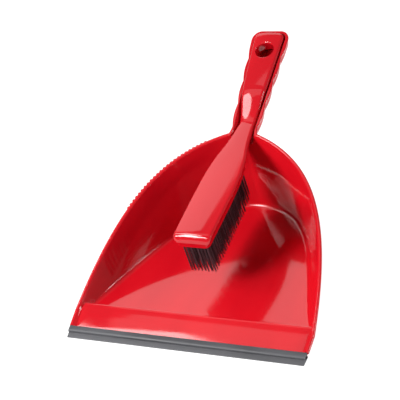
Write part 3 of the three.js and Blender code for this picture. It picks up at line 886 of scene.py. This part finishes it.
    def handle_hollow(self) -> Thing:
        """The trough that the brush's grip lies in, with an eased top edge."""
        end, rings = self.overall - self.wall, []
        near = [end - d for d in self.near_its_end[:-2]]
        for y in stations(self.length - self.mouth_radius, end, self.handle_step, near):
            half = rounded_end(self.trough_half_at(y), end - y, self.handle_end_radius - self.wall)
            edge = [Vector((half + out, y, self.rim_plane(y) + up)) for out, up in self.trough_edge]
            rings.append(self.handle_ring(y, edge, half, self.trough_drop, self.trough_corner))
        return self.shop.loft("handle_hollow", rings)

    def hole_bar(self, name: str, oval: tuple[float, float], from_end: float,
                 steps: Pairs) -> Thing:
        """An oval bar square to the handle's slope, for a hang hole and what is round it.

        Args:
            name: The object's name.
            oval: Its half width and half length.
            from_end: Its distance from the handle's end, along the slope.
            steps: Heights above the rim's plane, and how much wider the oval is at each.

        Returns:
            The bar.
        """
        middle_y = self.overall - from_end * math.cos(self.rim_angle)
        middle = Vector((0, middle_y, self.rim_plane(middle_y)))
        turn = Matrix.Rotation(self.rim_angle, 3, "X")
        rings = []
        for height, grow in steps:
            turns = (2 * math.pi * k / self.hole_steps for k in range(self.hole_steps))
            rings.append([middle + turn @ Vector((
                (oval[0] + grow) * math.cos(a), (oval[1] + grow) * math.sin(a), height)) for a in turns])
        return self.shop.loft(name, rings)

    def recess(self) -> Thing:
        """The shallow hollow inside the foot ring, under the floor."""
        outline = offset(self.floor_outline(), -self.foot_ring)[1:-1]
        return self.shop.loft("recess", [raised(outline, z) for z in (-1.0, self.foot_recess)])

    def ramp_hollows(self) -> list[Thing]:
        """The pockets under the ramp, with ribs left between them."""
        inside = 2 * (self.rim_half_width - self.floor_front_inset - self.foot_ring)
        pitch = inside / self.ramp_pockets
        front = self.front_y + self.foot_ring
        roof = self.ramp_front_height + self.ramp_rise * self.foot_ring - self.wall
        back = self.ridge_y + self.ridge_step - 1.4
        profile = [(front, -1), (front, roof), (self.ridge_y - 1, self.ridge_height - self.wall - 0.2),
                   (back, self.foot_recess), (back, -1)]
        return [self.shop.across(f"pocket_{i}", profile, (pitch - self.rib) / 2,
                                 -inside / 2 + pitch * (i + 0.5)) for i in range(self.ramp_pockets)]

    def tongue_bar(self) -> Thing:
        """The tongue along the scoop's front edge that the lip strip grips."""
        low, thick, reach, inset = self.tongue
        front, back = self.front_y - reach, self.front_y + 1
        profile = [(front, low), (back, low), (back, low + thick), (front, low + thick)]
        return self.shop.across("tongue", profile, self.rim_half_width - inset)

    def build(self) -> Thing:
        """The whole scoop, without its comb."""
        body = combine(self.outside(), self.handle_outside(), Cut.JOIN)
        body = combine(body, self.inside(), Cut.AWAY)
        body = combine(body, self.handle_hollow(), Cut.AWAY)
        body = combine(body, self.tongue_bar(), Cut.JOIN)
        hole = self.hole_bar("hang_hole", self.pan_hole, self.pan_hole_from_end, THROUGH)
        for tool in (hole, self.recess(), *self.ramp_hollows()):
            body = combine(body, tool, Cut.AWAY)
        body.name = "scoop"
        return smooth(body)

    def comb(self, material: bpy.types.Material) -> Thing:
        """The teeth along the left of the rim that clean the brush.

        Args:
            material: What the teeth are made of.

        Returns:
            One mesh with every tooth.
        """
        edge = raised(offset(self.rim_outline(), -self.bead_overhang), self.rim_plane)
        walked, path, last = 0.0, [], None
        reach = self.comb_start + (self.comb_teeth - 1) * self.comb_pitch
        for p in edge[len(edge) // 2::-1]:
            walked += (p - last).length if last else 0.0
            last = p
            if self.comb_start <= walked <= reach + self.comb_pitch / 2:
                path.append(self.shop.place(Vector((-p.x, p.y, p.z - self.tooth_drop * self.upright))))
        curve = bpy.data.curves.new("rim_comb", "CURVE")
        curve.dimensions = "3D"
        spline = curve.splines.new("POLY")
        spline.points.add(len(path) - 1)
        for point, place in zip(spline.points, path):
            point.co = (*place, 1.0)
        rail = bpy.data.objects.new("rim_comb", curve)
        bpy.context.scene.collection.objects.link(rail)
        return self.comb_tree(material).run(rail)

    def comb_tree(self, material: bpy.types.Material) -> Repeater:
        """The nodes that stand a tooth out from the rim at every pitch."""
        made = Repeater("comb_teeth")
        pitch = made.size("Pitch", self.comb_pitch * MM)
        length = made.size("Tooth Length", self.tooth_length * MM)
        width = made.size("Tooth Thickness", self.tooth_thickness * MM)
        reach = made.size("Tooth Reach", self.tooth_reach * MM)
        overhang = made.size("Rim Overhang", self.bead_overhang * MM)
        slope = made.size("Rim Slope", self.rim_angle)
        points = made.node("GeometryNodeCurveToPoints", {"Curve": made.entry.outputs[0], "Length": pitch},
                           mode="LENGTH")
        root = made.times(length, math.sqrt(0.5))
        tooth = made.out("GeometryNodeMeshCone", {
            "Vertices": 4, "Radius Top": made.times(root, 0.5), "Radius Bottom": root,
            "Depth": made.sum_of("ADD", made.times(reach, 2.0), overhang)})
        squared = made.out("GeometryNodeTransform", {
            "Geometry": tooth, "Rotation": (0, 0, math.pi / 4),
            "Translation": made.point(Z=made.times(reach, -1.0))})
        thin = made.out("GeometryNodeTransform", {
            "Geometry": squared, "Scale": made.point(X=1.0, Y=made.sum_of("DIVIDE", width, length), Z=1.0)})
        above = made.point(Y=made.times(made.sum_of("SINE", slope), -1.0), Z=made.sum_of("COSINE", slope))
        out = made.vector("CROSS_PRODUCT", {0: points.outputs["Tangent"], 1: above})
        away = made.vector("SCALE", {0: out, "Scale": -1.0})
        stood = made.out("FunctionNodeAxesToRotation", {"Primary Axis": away, "Secondary Axis": above},
                         primary_axis="Z", secondary_axis="Y")
        placed = made.out("GeometryNodeInstanceOnPoints", {
            "Points": points.outputs["Points"], "Instance": thin, "Rotation": stood})
        return made.finish(placed, material)


# ---------------------------------------------------------------- the lip strip


@dataclass
class LipStrip:
    """The soft strip along the scoop's front edge."""

    scoop: Scoop
    height: float = 5.3
    blade_rise: float = 2.1
    blade_reach: float = 5.0
    end_inset: float = 2.0
    gap: float = 0.3

    def build(self) -> Thing:
        """The strip, with its thin front blade, its rounded body and the groove behind."""
        low, thick, reach, _ = self.scoop.tongue
        back = self.scoop.front_y - self.gap
        groove = self.scoop.front_y - reach - self.gap
        roof, rise, depth, top = low + thick + self.gap, self.blade_rise, self.blade_reach, self.height
        profile = [(0.0, 0.12), (0.12, 0.45), (0.5, 0.72), (depth - 0.9, rise - 0.15),
                   (depth - 0.25, rise + 0.05), (depth - 0.15, rise + 0.3), (depth - 0.45, rise + 0.75),
                   (depth - 0.55, rise + 1.2), (depth - 0.35, top - 1.45), (depth + 0.1, top - 0.95),
                   (depth + 0.8, top - 0.55), (depth + 1.8, top - 0.3), (back - 1.2, top - 0.02),
                   (back - 0.4, top), (back, top - 0.35), (back, roof), (groove, roof),
                   (groove, low - self.gap), (back, low - self.gap), (back, 0.0), (0.15, 0.0)]
        half = self.scoop.rim_half_width - self.end_inset
        strip = self.scoop.shop.across("lip", profile, half)
        return smooth(strip)


# ---------------------------------------------------------------- the brush


@dataclass
class Brush:
    """The hand brush: a hollow shell, the block that closes its head, and the bristles."""

    scoop: Scoop
    gap: float = 0.3
    wall: float = 2.0
    crown: float = 0.9
    crown_shares: tuple[float, ...] = (0.8, 0.6, 0.4, 0.2)
    side_shares: tuple[float, ...] = (0.35, 0.7)
    proud: float = 4.6
    sink: float = 6.5
    side_gap: float = 0.8
    foot_gap: float = 0.6
    grip_blend: float = 22.0
    head_half: float = 18.2
    head_length: float = 74.0
    head_depth: float = 12.0
    head_pitch: float = 0.1
    head_taper: float = 2.6
    head_rise: float = 0.11
    head_to_neck: float = 68.0
    neck_half: float = 8.0
    neck_sink: float = 2.4
    neck_clearance: float = 2.2
    neck_taper: float = 2.2
    neck_reach: float = 6.0
    neck_rounding: tuple[float, float, float] = (0.3, 0.6, 0.5)
    head_narrows: Pairs = ((0.3, 0.86), (0.6, 0.6))
    neck_past_rim: float = 9.0
    head_corner: float = 4.0
    nose: float = 6.5
    tail: float = 0.6
    edge: float = 2.6
    edge_share: float = 0.6
    edge_steps: int = 8
    ring_step: float = 2.0
    near_an_end: tuple[float, ...] = (0.05, 0.25, 0.6, 1.1, 1.7, 2.4, 3.2, 4.0, 4.6)
    collar: float = 1.8
    hole_flare: Pairs = ((-1.5, 0), (-0.9, 0.12), (-0.45, 0.4), (-0.15, 0.85), (0.1, 1.5), (0.6, 3.2))
    grip_ribs: int = 4
    rib_before_hole: float = 8.0
    rib_past_top: float = 9.0
    rib_half: float = 40.0
    block_behind_head: float = 23.0
    flange: float = 3.0
    plug: float = 2.4
    flange_ease: float = 0.8
    ease_cut: float = 0.3
    past_block_end: float = 0.5
    root_depth: float = 1.0
    near_the_block_end: tuple[float, ...] = (0.05, 0.3, 0.8, 1.6, 2.7, 4.0)
    tuft_pitch: float = 3.4
    tuft_spacing: float = 3.3
    tuft_size: float = 1.9
    tuft_length: float = 31.0
    tuft_rows: int = 28
    tuft_margin: float = 3.3
    tuft_radius: float = 0.62
    filaments: int = 10
    filament_radius: float = 0.25
    filament_points: int = 6
    filament_sides: int = 4
    filament_tip: tuple[float, float] = (3.0, 0.62)
    filament_cut: float = 0.955
    lean: float = 0.01
    bend: tuple[float, float] = (0.3, 2.2)
    seed: int = 7
    lines: dict[str, Height] = field(default_factory=dict)

    def __post_init__(self) -> None:
        """Works out the brush's long curves from its sizes."""
        scoop = self.scoop
        neck = scoop.length + self.neck_past_rim
        self.back = neck - self.head_to_neck
        self.front = self.back - self.head_length
        self.block_end = self.back + self.block_behind_head
        self.end = scoop.overall - scoop.wall - self.side_gap
        self.neck = neck
        grip = neck + self.grip_blend
        reach, run = self.neck_reach, self.head_to_neck
        before, after, lift = self.neck_rounding
        neck_top = scoop.rim_plane(neck) - self.neck_sink
        top_back = neck_top - self.head_rise * run

        def proud(y: float) -> float:
            """Height of the grip's top."""
            return scoop.rim_plane(y) + self.proud

        def grip_half(y: float) -> float:
            """Half width of the grip in the trough."""
            return scoop.trough_half_at(y) - self.side_gap

        corner, sunk = scoop.trough_corner, self.sink * scoop.upright
        below = max(sunk - (scoop.trough_drop - corner), 0.0)
        draw_in = scoop.trough_draft + corner - math.sqrt(corner**2 - below**2)
        taper = draw_in + self.foot_gap - self.side_gap
        shell = self.head_depth - self.flange - self.gap
        full = self.proud + sunk
        neck_depth = scoop.trough_drop - self.neck_sink - self.neck_clearance
        self.lines = {
            "top": smooth_line([
                (self.front, top_back - self.head_pitch * self.head_length), (self.back, top_back),
                (self.back + run / 2, top_back + self.head_rise * run / 2),
                (neck - reach, neck_top - self.head_rise * reach), (neck, neck_top + lift),
                (grip, proud(grip)), (grip + reach, proud(grip + reach)), (self.end, proud(self.end))]),
            "half": smooth_line([
                (self.front, self.head_half), (self.back - reach, self.head_half),
                *((self.back + run * way, self.head_half * share) for way, share in self.head_narrows),
                (neck - reach, self.neck_half + before), (neck, self.neck_half),
                (neck + reach, self.neck_half + after),
                (grip + reach, grip_half(grip + reach)), (self.end, grip_half(self.end))]),
            "depth": smooth_line([
                (self.front, shell), (self.block_end, shell), (neck - reach, neck_depth),
                (grip, full), (self.end, full)]),
            "taper": smooth_line([
                (self.front, self.head_taper), (self.block_end, self.head_taper),
                (neck, self.neck_taper), (grip, taper), (self.end, taper)]),
        }

    def ring(self, y: float, wall: float, extra: float) -> Ring:
        """A ring of the shell.

        Args:
            y: Its place.
            wall: How far it is drawn in on every side.
            extra: How far its foot runs on below the shell's.

        Returns:
            The ring, from its right foot over the top to its left foot.
        """
        lines = self.lines
        ahead, behind = y - self.front - wall, self.end - y - wall
        end_radius = self.scoop.handle_end_radius - self.scoop.wall - self.side_gap
        half = min(rounded_end(lines["half"](y) - wall, ahead, self.head_corner),
                   rounded_end(lines["half"](y) - wall, behind, end_radius))
        bottom = lines["top"](y) - lines["depth"](y)
        nose = self.nose - rounded_end(self.nose, ahead, self.nose)
        tail = self.nose - rounded_end(self.nose, behind, self.nose)
        top = lines["top"](y) - wall - max(nose, tail * self.tail)
        radius = min(self.edge, half * self.edge_share, (top - bottom) * self.edge_share)
        foot = half - lines["taper"](y) * (half / lines["half"](y))
        crown = self.crown * half / self.head_half
        side, flat = top - crown - radius, half - radius
        right = [Vector((foot, y, bottom - extra))]
        right += [Vector((foot + (half - foot) * s, y, bottom + (side - bottom) * s))
                  for s in self.side_shares]
        right += [Vector((half - into, y, top - crown - down))
                  for into, down in quarter(radius, self.edge_steps)]
        right += [Vector((flat * s, y, top - crown * s * s)) for s in self.crown_shares]
        return two_sided(right, [Vector((0, y, top))])

    def form(self, name: str, wall: float, extra: float) -> Thing:
        """The shell's form, drawn in by a wall.

        Args:
            name: The object's name.
            wall: How far it is drawn in.
            extra: How far it runs on below.

        Returns:
            The form, solid inside.
        """
        start, end = self.front + wall, self.end - wall
        ys = self.places(start, end, self.near_an_end)
        return self.scoop.shop.loft(name, [self.ring(y, wall, extra) for y in ys])

    def places(self, start: float, end: float, near: Sequence[float]) -> list[float]:
        """Places for rings, with some close to each end."""
        return stations(start, end, self.ring_step, [start + d for d in near] + [end - d for d in near])

    def shell(self) -> Thing:
        """The hollow red shell: head, neck and grip, with the collar and ribs inside it."""
        scoop = self.scoop
        hole, from_end = scoop.hole_half, scoop.hole_from_end
        inner = scoop.hole_bar("collar", hole, from_end, [(height, self.collar) for height, _ in THROUGH])
        first = self.neck + self.grip_blend / 2
        last = scoop.overall - from_end - hole[1] - self.rib_before_hole
        for i in range(self.grip_ribs):
            y = first + (last - first) * i / (self.grip_ribs - 1)
            top = self.lines["top"](y)
            low = top - self.lines["depth"](y) + self.side_gap
            profile = [(y - scoop.rib / 2, low), (y + scoop.rib / 2, low),
                       (y + scoop.rib / 2, top + self.rib_past_top),
                       (y - scoop.rib / 2, top + self.rib_past_top)]
            inner = combine(inner, scoop.shop.across(f"rib_{i}", profile, self.rib_half), Cut.JOIN)
        inner = combine(inner, self.form("bound", 0.4, -0.2), Cut.COMMON)
        shell = combine(self.form("brush", 0, 0), self.form("brush_inside", self.wall, 4), Cut.AWAY)
        shell = combine(shell, inner, Cut.JOIN)
        rise = self.proud * math.cos(scoop.rim_angle)
        below, above = THROUGH
        flare = [below, *((rise + up, grow) for up, grow in self.hole_flare),
                 (above[0], self.hole_flare[-1][1])]
        shell = combine(shell, scoop.hole_bar("brush_hole", hole, from_end, flare), Cut.AWAY)
        shell.name = "brush_cover"
        return smooth(shell)

    def block_top(self, y: float) -> float:
        """Height of the block's flange at y."""
        return self.lines["top"](y) - self.lines["depth"](y) - self.gap

    def layer(self, name: str, inset: float, low: float, high: float, ease: float) -> Thing:
        """A layer of the block: the head's foot outline between two heights.

        Args:
            name: The object's name.
            inset: How far it is drawn in.
            low: Its bottom, from the flange's top.
            high: Its top, from the flange's top.
            ease: The rounding of its lower edge.

        Returns:
            The layer.
        """
        start, end = self.front + inset, self.block_end - inset
        rings = []
        for y in self.places(start, end, self.near_the_block_end):
            full = self.lines["half"](y)
            half = min(rounded_end(full - inset, y - start, self.head_corner),
                       rounded_end(full - inset, end - y + self.past_block_end, self.head_corner))
            foot = half - self.lines["taper"](y) * half / full
            cut = ease * self.ease_cut
            side = [(foot - ease, low), (foot - cut, low + cut), (foot, low + ease), (foot, high)]
            rings.append(two_sided([Vector((x, y, self.block_top(y) + h)) for x, h in side]))
        return self.scoop.shop.loft(name, rings)

    def block(self) -> Thing:
        """The plate that closes the head and holds the tufts."""
        inset = self.wall + 2 * self.gap
        plate = self.layer("tuft_plate", 0, -self.flange, 0, self.flange_ease)
        return smooth(combine(plate, self.layer("plug", inset, -1, self.plug, 0), Cut.JOIN))

    def roots(self) -> Thing:
        """A point in the block's face for each tuft."""
        points = []
        for row in range(self.tuft_rows):
            y = self.front + self.tuft_margin + row * self.tuft_pitch
            half = self.lines["half"](y) - self.lines["taper"](y) - self.wall - 2 * self.gap
            count = math.floor((2 * half - self.tuft_size) / self.tuft_spacing) + 1
            z = self.block_top(y) - self.flange + self.root_depth
            points += [Vector(((i - (count - 1) / 2) * self.tuft_spacing, y, z)) for i in range(count)]
        return self.scoop.shop.solid("bristles", points, [])

    def bristle_tree(self, material: bpy.types.Material, attribute: str) -> Repeater:
        """The nodes that grow a tuft of filaments from every root.

        Args:
            material: What the filaments are made of.
            attribute: The name of the shade that each filament carries.

        Returns:
            The tree.
        """
        made = Repeater("tufts")
        count = made.size("Filaments", self.filaments, "Int")
        spread = made.size("Tuft Radius", self.tuft_radius * MM)
        length = made.size("Length", (self.tuft_length + self.root_depth) * MM)
        radius = made.size("Filament Radius", self.filament_radius * MM)
        lean = made.size("Lean", self.lean)
        bend = made.size("Bend", self.bend[0] * MM)
        seed = made.size("Seed", self.seed, "Int")
        low, high, lean_name = (-1, -1, 0), (1, 1, 0), "tuft_lean"

        kept = made.out("GeometryNodeStoreNamedAttribute", {
            "Geometry": made.entry.outputs[0], "Name": lean_name, "Value": made.scatter(low, high, seed)},
            data_type="FLOAT_VECTOR", domain="POINT")
        copies = made.node("GeometryNodeDuplicateElements", {"Geometry": kept, "Amount": count},
                           domain="POINT")
        order = copies.outputs["Duplicate Index"]
        share = made.sum_of("DIVIDE", made.sum_of("ADD", order, 0.5), count)
        away = made.times(made.sum_of("SQRT", share), spread)
        angle = made.times(order, GOLDEN_ANGLE)
        shift = made.point(X=made.times(away, made.sum_of("COSINE", angle)),
                           Y=made.times(away, made.sum_of("SINE", angle)))
        ringed = made.out("GeometryNodeSetPosition", {"Geometry": copies.outputs[0], "Offset": shift})

        line = made.out("GeometryNodeCurvePrimitiveLine", {"Start": (0, 0, 0), "End": (0, 0, -1)})
        cut = made.out("GeometryNodeResampleCurve", {"Curve": line, "Count": self.filament_points})
        along = made.out("GeometryNodeSplineParameter")
        sweep = made.times(made.sum_of("POWER", along, self.bend[1]), bend)
        bowed = made.out("GeometryNodeSetPosition", {"Geometry": cut, "Offset": made.point(X=sweep)})
        sharpness, thinning = self.filament_tip
        lost = made.times(made.sum_of("POWER", along, sharpness), thinning)
        section = made.out("GeometryNodeCurvePrimitiveCircle", {
            "Resolution": self.filament_sides, "Radius": 1.0})
        filament = made.out("GeometryNodeCurveToMesh", {
            "Curve": bowed, "Profile Curve": section, "Fill Caps": True,
            "Scale": made.times(radius, made.sum_of("SUBTRACT", 1.0, lost))})

        stray = made.scatter(low, high, made.sum_of("ADD", seed, 3))
        shared = made.out("GeometryNodeInputNamedAttribute", {"Name": lean_name}, data_type="FLOAT_VECTOR")
        tilt = made.vector("SCALE", {0: made.vector("ADD", {0: stray, 1: shared}), "Scale": lean})
        spin = made.scatter((0, 0, 0), (0, 0, 2 * math.pi), made.sum_of("ADD", seed, 5))
        tilted, spun = (made.out("FunctionNodeEulerToRotation", {"Euler": turn}) for turn in (tilt, spin))
        turned = made.out("FunctionNodeRotateRotation", {"Rotation": tilted, "Rotate By": spun},
                          rotation_space="LOCAL")
        cut_length = made.node("FunctionNodeRandomValue", {
            2: self.filament_cut, 3: 1.0, "Seed": made.sum_of("ADD", seed, 9)}, data_type="FLOAT")
        reach = made.point(X=1.0, Y=1.0, Z=made.times(length, cut_length.outputs[1]))
        grown = made.out("GeometryNodeInstanceOnPoints", {
            "Points": ringed, "Instance": filament, "Rotation": turned, "Scale": reach})
        shade = made.node("FunctionNodeRandomValue", {"Seed": made.sum_of("ADD", seed, 11)},
                          data_type="FLOAT")
        shaded = made.out("GeometryNodeStoreNamedAttribute", {
            "Geometry": grown, "Name": attribute, "Value": shade.outputs[1]},
            data_type="FLOAT", domain="INSTANCE")
        return made.finish(shaded, material)


# ---------------------------------------------------------------- the studio


@dataclass(frozen=True)
class Softbox:
    """A rectangular soft light aimed at the set."""

    name: str
    azimuth: float
    elevation: float
    distance: float
    size: tuple[float, float]
    power: float

    def hang(self, aim: Vector) -> Thing:
        """Hangs the light, facing a point.

        Args:
            aim: Where it faces, in the frame.

        Returns:
            The light.
        """
        data = bpy.data.lights.new(self.name, "AREA")
        data.shape = "RECTANGLE"
        data.size, data.size_y = self.size
        data.energy = self.power
        light = bpy.data.objects.new(self.name, data)
        away = direction(self.azimuth, self.elevation)
        light.location = aim + away * self.distance
        light.rotation_euler = away.to_track_quat("Z", "Y").to_euler()
        bpy.context.scene.collection.objects.link(light)
        return light


def direction(azimuth: float, elevation: float) -> Vector:
    """The unit vector towards a place seen round the set.

    Args:
        azimuth: Degrees round from the front, towards +X.
        elevation: Degrees above the floor.

    Returns:
        The direction.
    """
    a, e = math.radians(azimuth), math.radians(elevation)
    return Vector((math.sin(a) * math.cos(e), -math.cos(a) * math.cos(e), math.sin(e)))


@dataclass
class Studio:
    """The pale floor, the soft lights and the camera."""

    shop: Workshop
    azimuth: float = 36.0
    elevation: float = 36.0
    roll: float = -19.6
    distance: float = 1.21
    aim: tuple[float, float, float] = (-18.4, 125.0, 59.8)
    lens: float = 123.5
    sensor: float = 36.0
    light_aim: tuple[float, float, float] = (0.0, 120.0, 40.0)
    backdrop: float = 1.0
    fill: float = 0.26
    floor_half: float = 4.0
    floor_gap: float = 0.0002
    lights: tuple[Softbox, ...] = (
        Softbox("key", -39.0, 41.0, 1.0, (0.34, 0.34), 9.0),
        Softbox("rear_left", -144.0, 36.0, 1.6, (1.1, 0.9), 4.6),
        Softbox("glint", -62.0, 56.0, 1.0, (0.4, 0.22), 2.8),
        Softbox("overhead", -92.0, 66.0, 1.2, (0.5, 0.5), 0.7),
        Softbox("right", 98.0, 20.0, 1.3, (0.4, 0.4), 5.2),
    )

    def camera(self) -> None:
        """Makes the camera, turned a little about its own line of sight."""
        data = bpy.data.cameras.new("camera")
        data.lens = self.lens
        data.sensor_width = self.sensor
        view = bpy.data.objects.new("camera", data)
        back = direction(self.azimuth, self.elevation)
        a, r = math.radians(self.azimuth), math.radians(self.roll)
        level = Vector((math.cos(a), math.sin(a), 0))
        above = back.cross(level)
        right = level * math.cos(r) + above * math.sin(r)
        up = above * math.cos(r) - level * math.sin(r)
        turn = Matrix((right, up, back)).transposed().to_4x4()
        aim = self.shop.place(Vector(self.aim))
        view.matrix_world = Matrix.Translation(aim + back * self.distance) @ turn
        bpy.context.scene.collection.objects.link(view)
        bpy.context.scene.camera = view

    def floor(self) -> Thing:
        """The floor, which isn't part of the set."""
        half = self.floor_half
        mesh = bpy.data.meshes.new("studio_floor")
        mesh.from_pydata([(-half, -half, 0), (half, -half, 0), (half, half, 0), (-half, half, 0)], [],
                         [(0, 1, 2, 3)])
        floor = bpy.data.objects.new("studio_floor", mesh)
        bpy.context.scene.collection.objects.link(floor)
        floor.location.z = -self.floor_gap
        dress(floor, PaleFloor().material())
        return floor

    def light(self) -> None:
        """The white surroundings and the soft lights."""
        world = bpy.data.worlds.new("studio")
        bpy.context.scene.world = world
        world.use_nodes = True
        nodes, links = world.node_tree.nodes, world.node_tree.links
        seen, given = nodes["Background"], nodes.new("ShaderNodeBackground")
        for sky, strength in ((seen, self.backdrop), (given, self.fill)):
            sky.inputs["Color"].default_value = (1.0, 1.0, 1.0, 1.0)
            sky.inputs["Strength"].default_value = strength
        rays, mix = nodes.new("ShaderNodeLightPath"), nodes.new("ShaderNodeMixShader")
        links.new(rays.outputs["Is Camera Ray"], mix.inputs[0])
        links.new(given.outputs[0], mix.inputs[1])
        links.new(seen.outputs[0], mix.inputs[2])
        links.new(mix.outputs[0], nodes["World Output"].inputs["Surface"])
        aim = self.shop.place(Vector(self.light_aim))
        for lamp in self.lights:
            lamp.hang(aim)
        bpy.context.scene.view_settings.view_transform = "Standard"

    def build(self) -> None:
        """Sets the whole studio up."""
        self.camera()
        self.floor()
        self.light()


# ---------------------------------------------------------------- putting it together


def settle(obj: Thing, body: str, nodes: Sequence[str] = ()) -> None:
    """Puts a finished piece on its body.

    Args:
        obj: The piece.
        body: The body that it moves with.
        nodes: The CAD nodes that it stands for.
    """
    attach(obj, body)
    if nodes:
        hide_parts(*nodes)
    faces = len(obj.data.polygons)
    LOG.info("%s: %d faces on body %s", obj.name, faces, body)


def main() -> None:
    """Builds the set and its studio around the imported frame."""
    logging.basicConfig(level=logging.INFO, format="%(name)s: %(message)s")
    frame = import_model()
    shop = Workshop(lip_front=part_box("lip_strip")[0][1])
    red, rubber, bristle = GlossyRed().material(), SoftRubber().material(), DarkFilament()
    dark = bristle.material()

    Studio(shop).build()
    scoop = Scoop(shop)
    settle(dress(scoop.build(), red), "pan", ["pan_body"])
    settle(scoop.comb(red), "pan")
    settle(dress(LipStrip(scoop).build(), rubber), "pan", ["lip_strip"])

    brush = Brush(scoop)
    settle(dress(brush.shell(), red), "brush", ["brush_shell"])
    settle(dress(brush.block(), red), "brush", ["tuft_block"])
    tufts = brush.bristle_tree(dark, bristle.attribute).run(brush.roots())
    rows = sorted(name for name in frame["nodes"] if name.startswith("tuft_row_"))
    settle(tufts, "brush", rows)


if __name__ == "__main__":
    main()
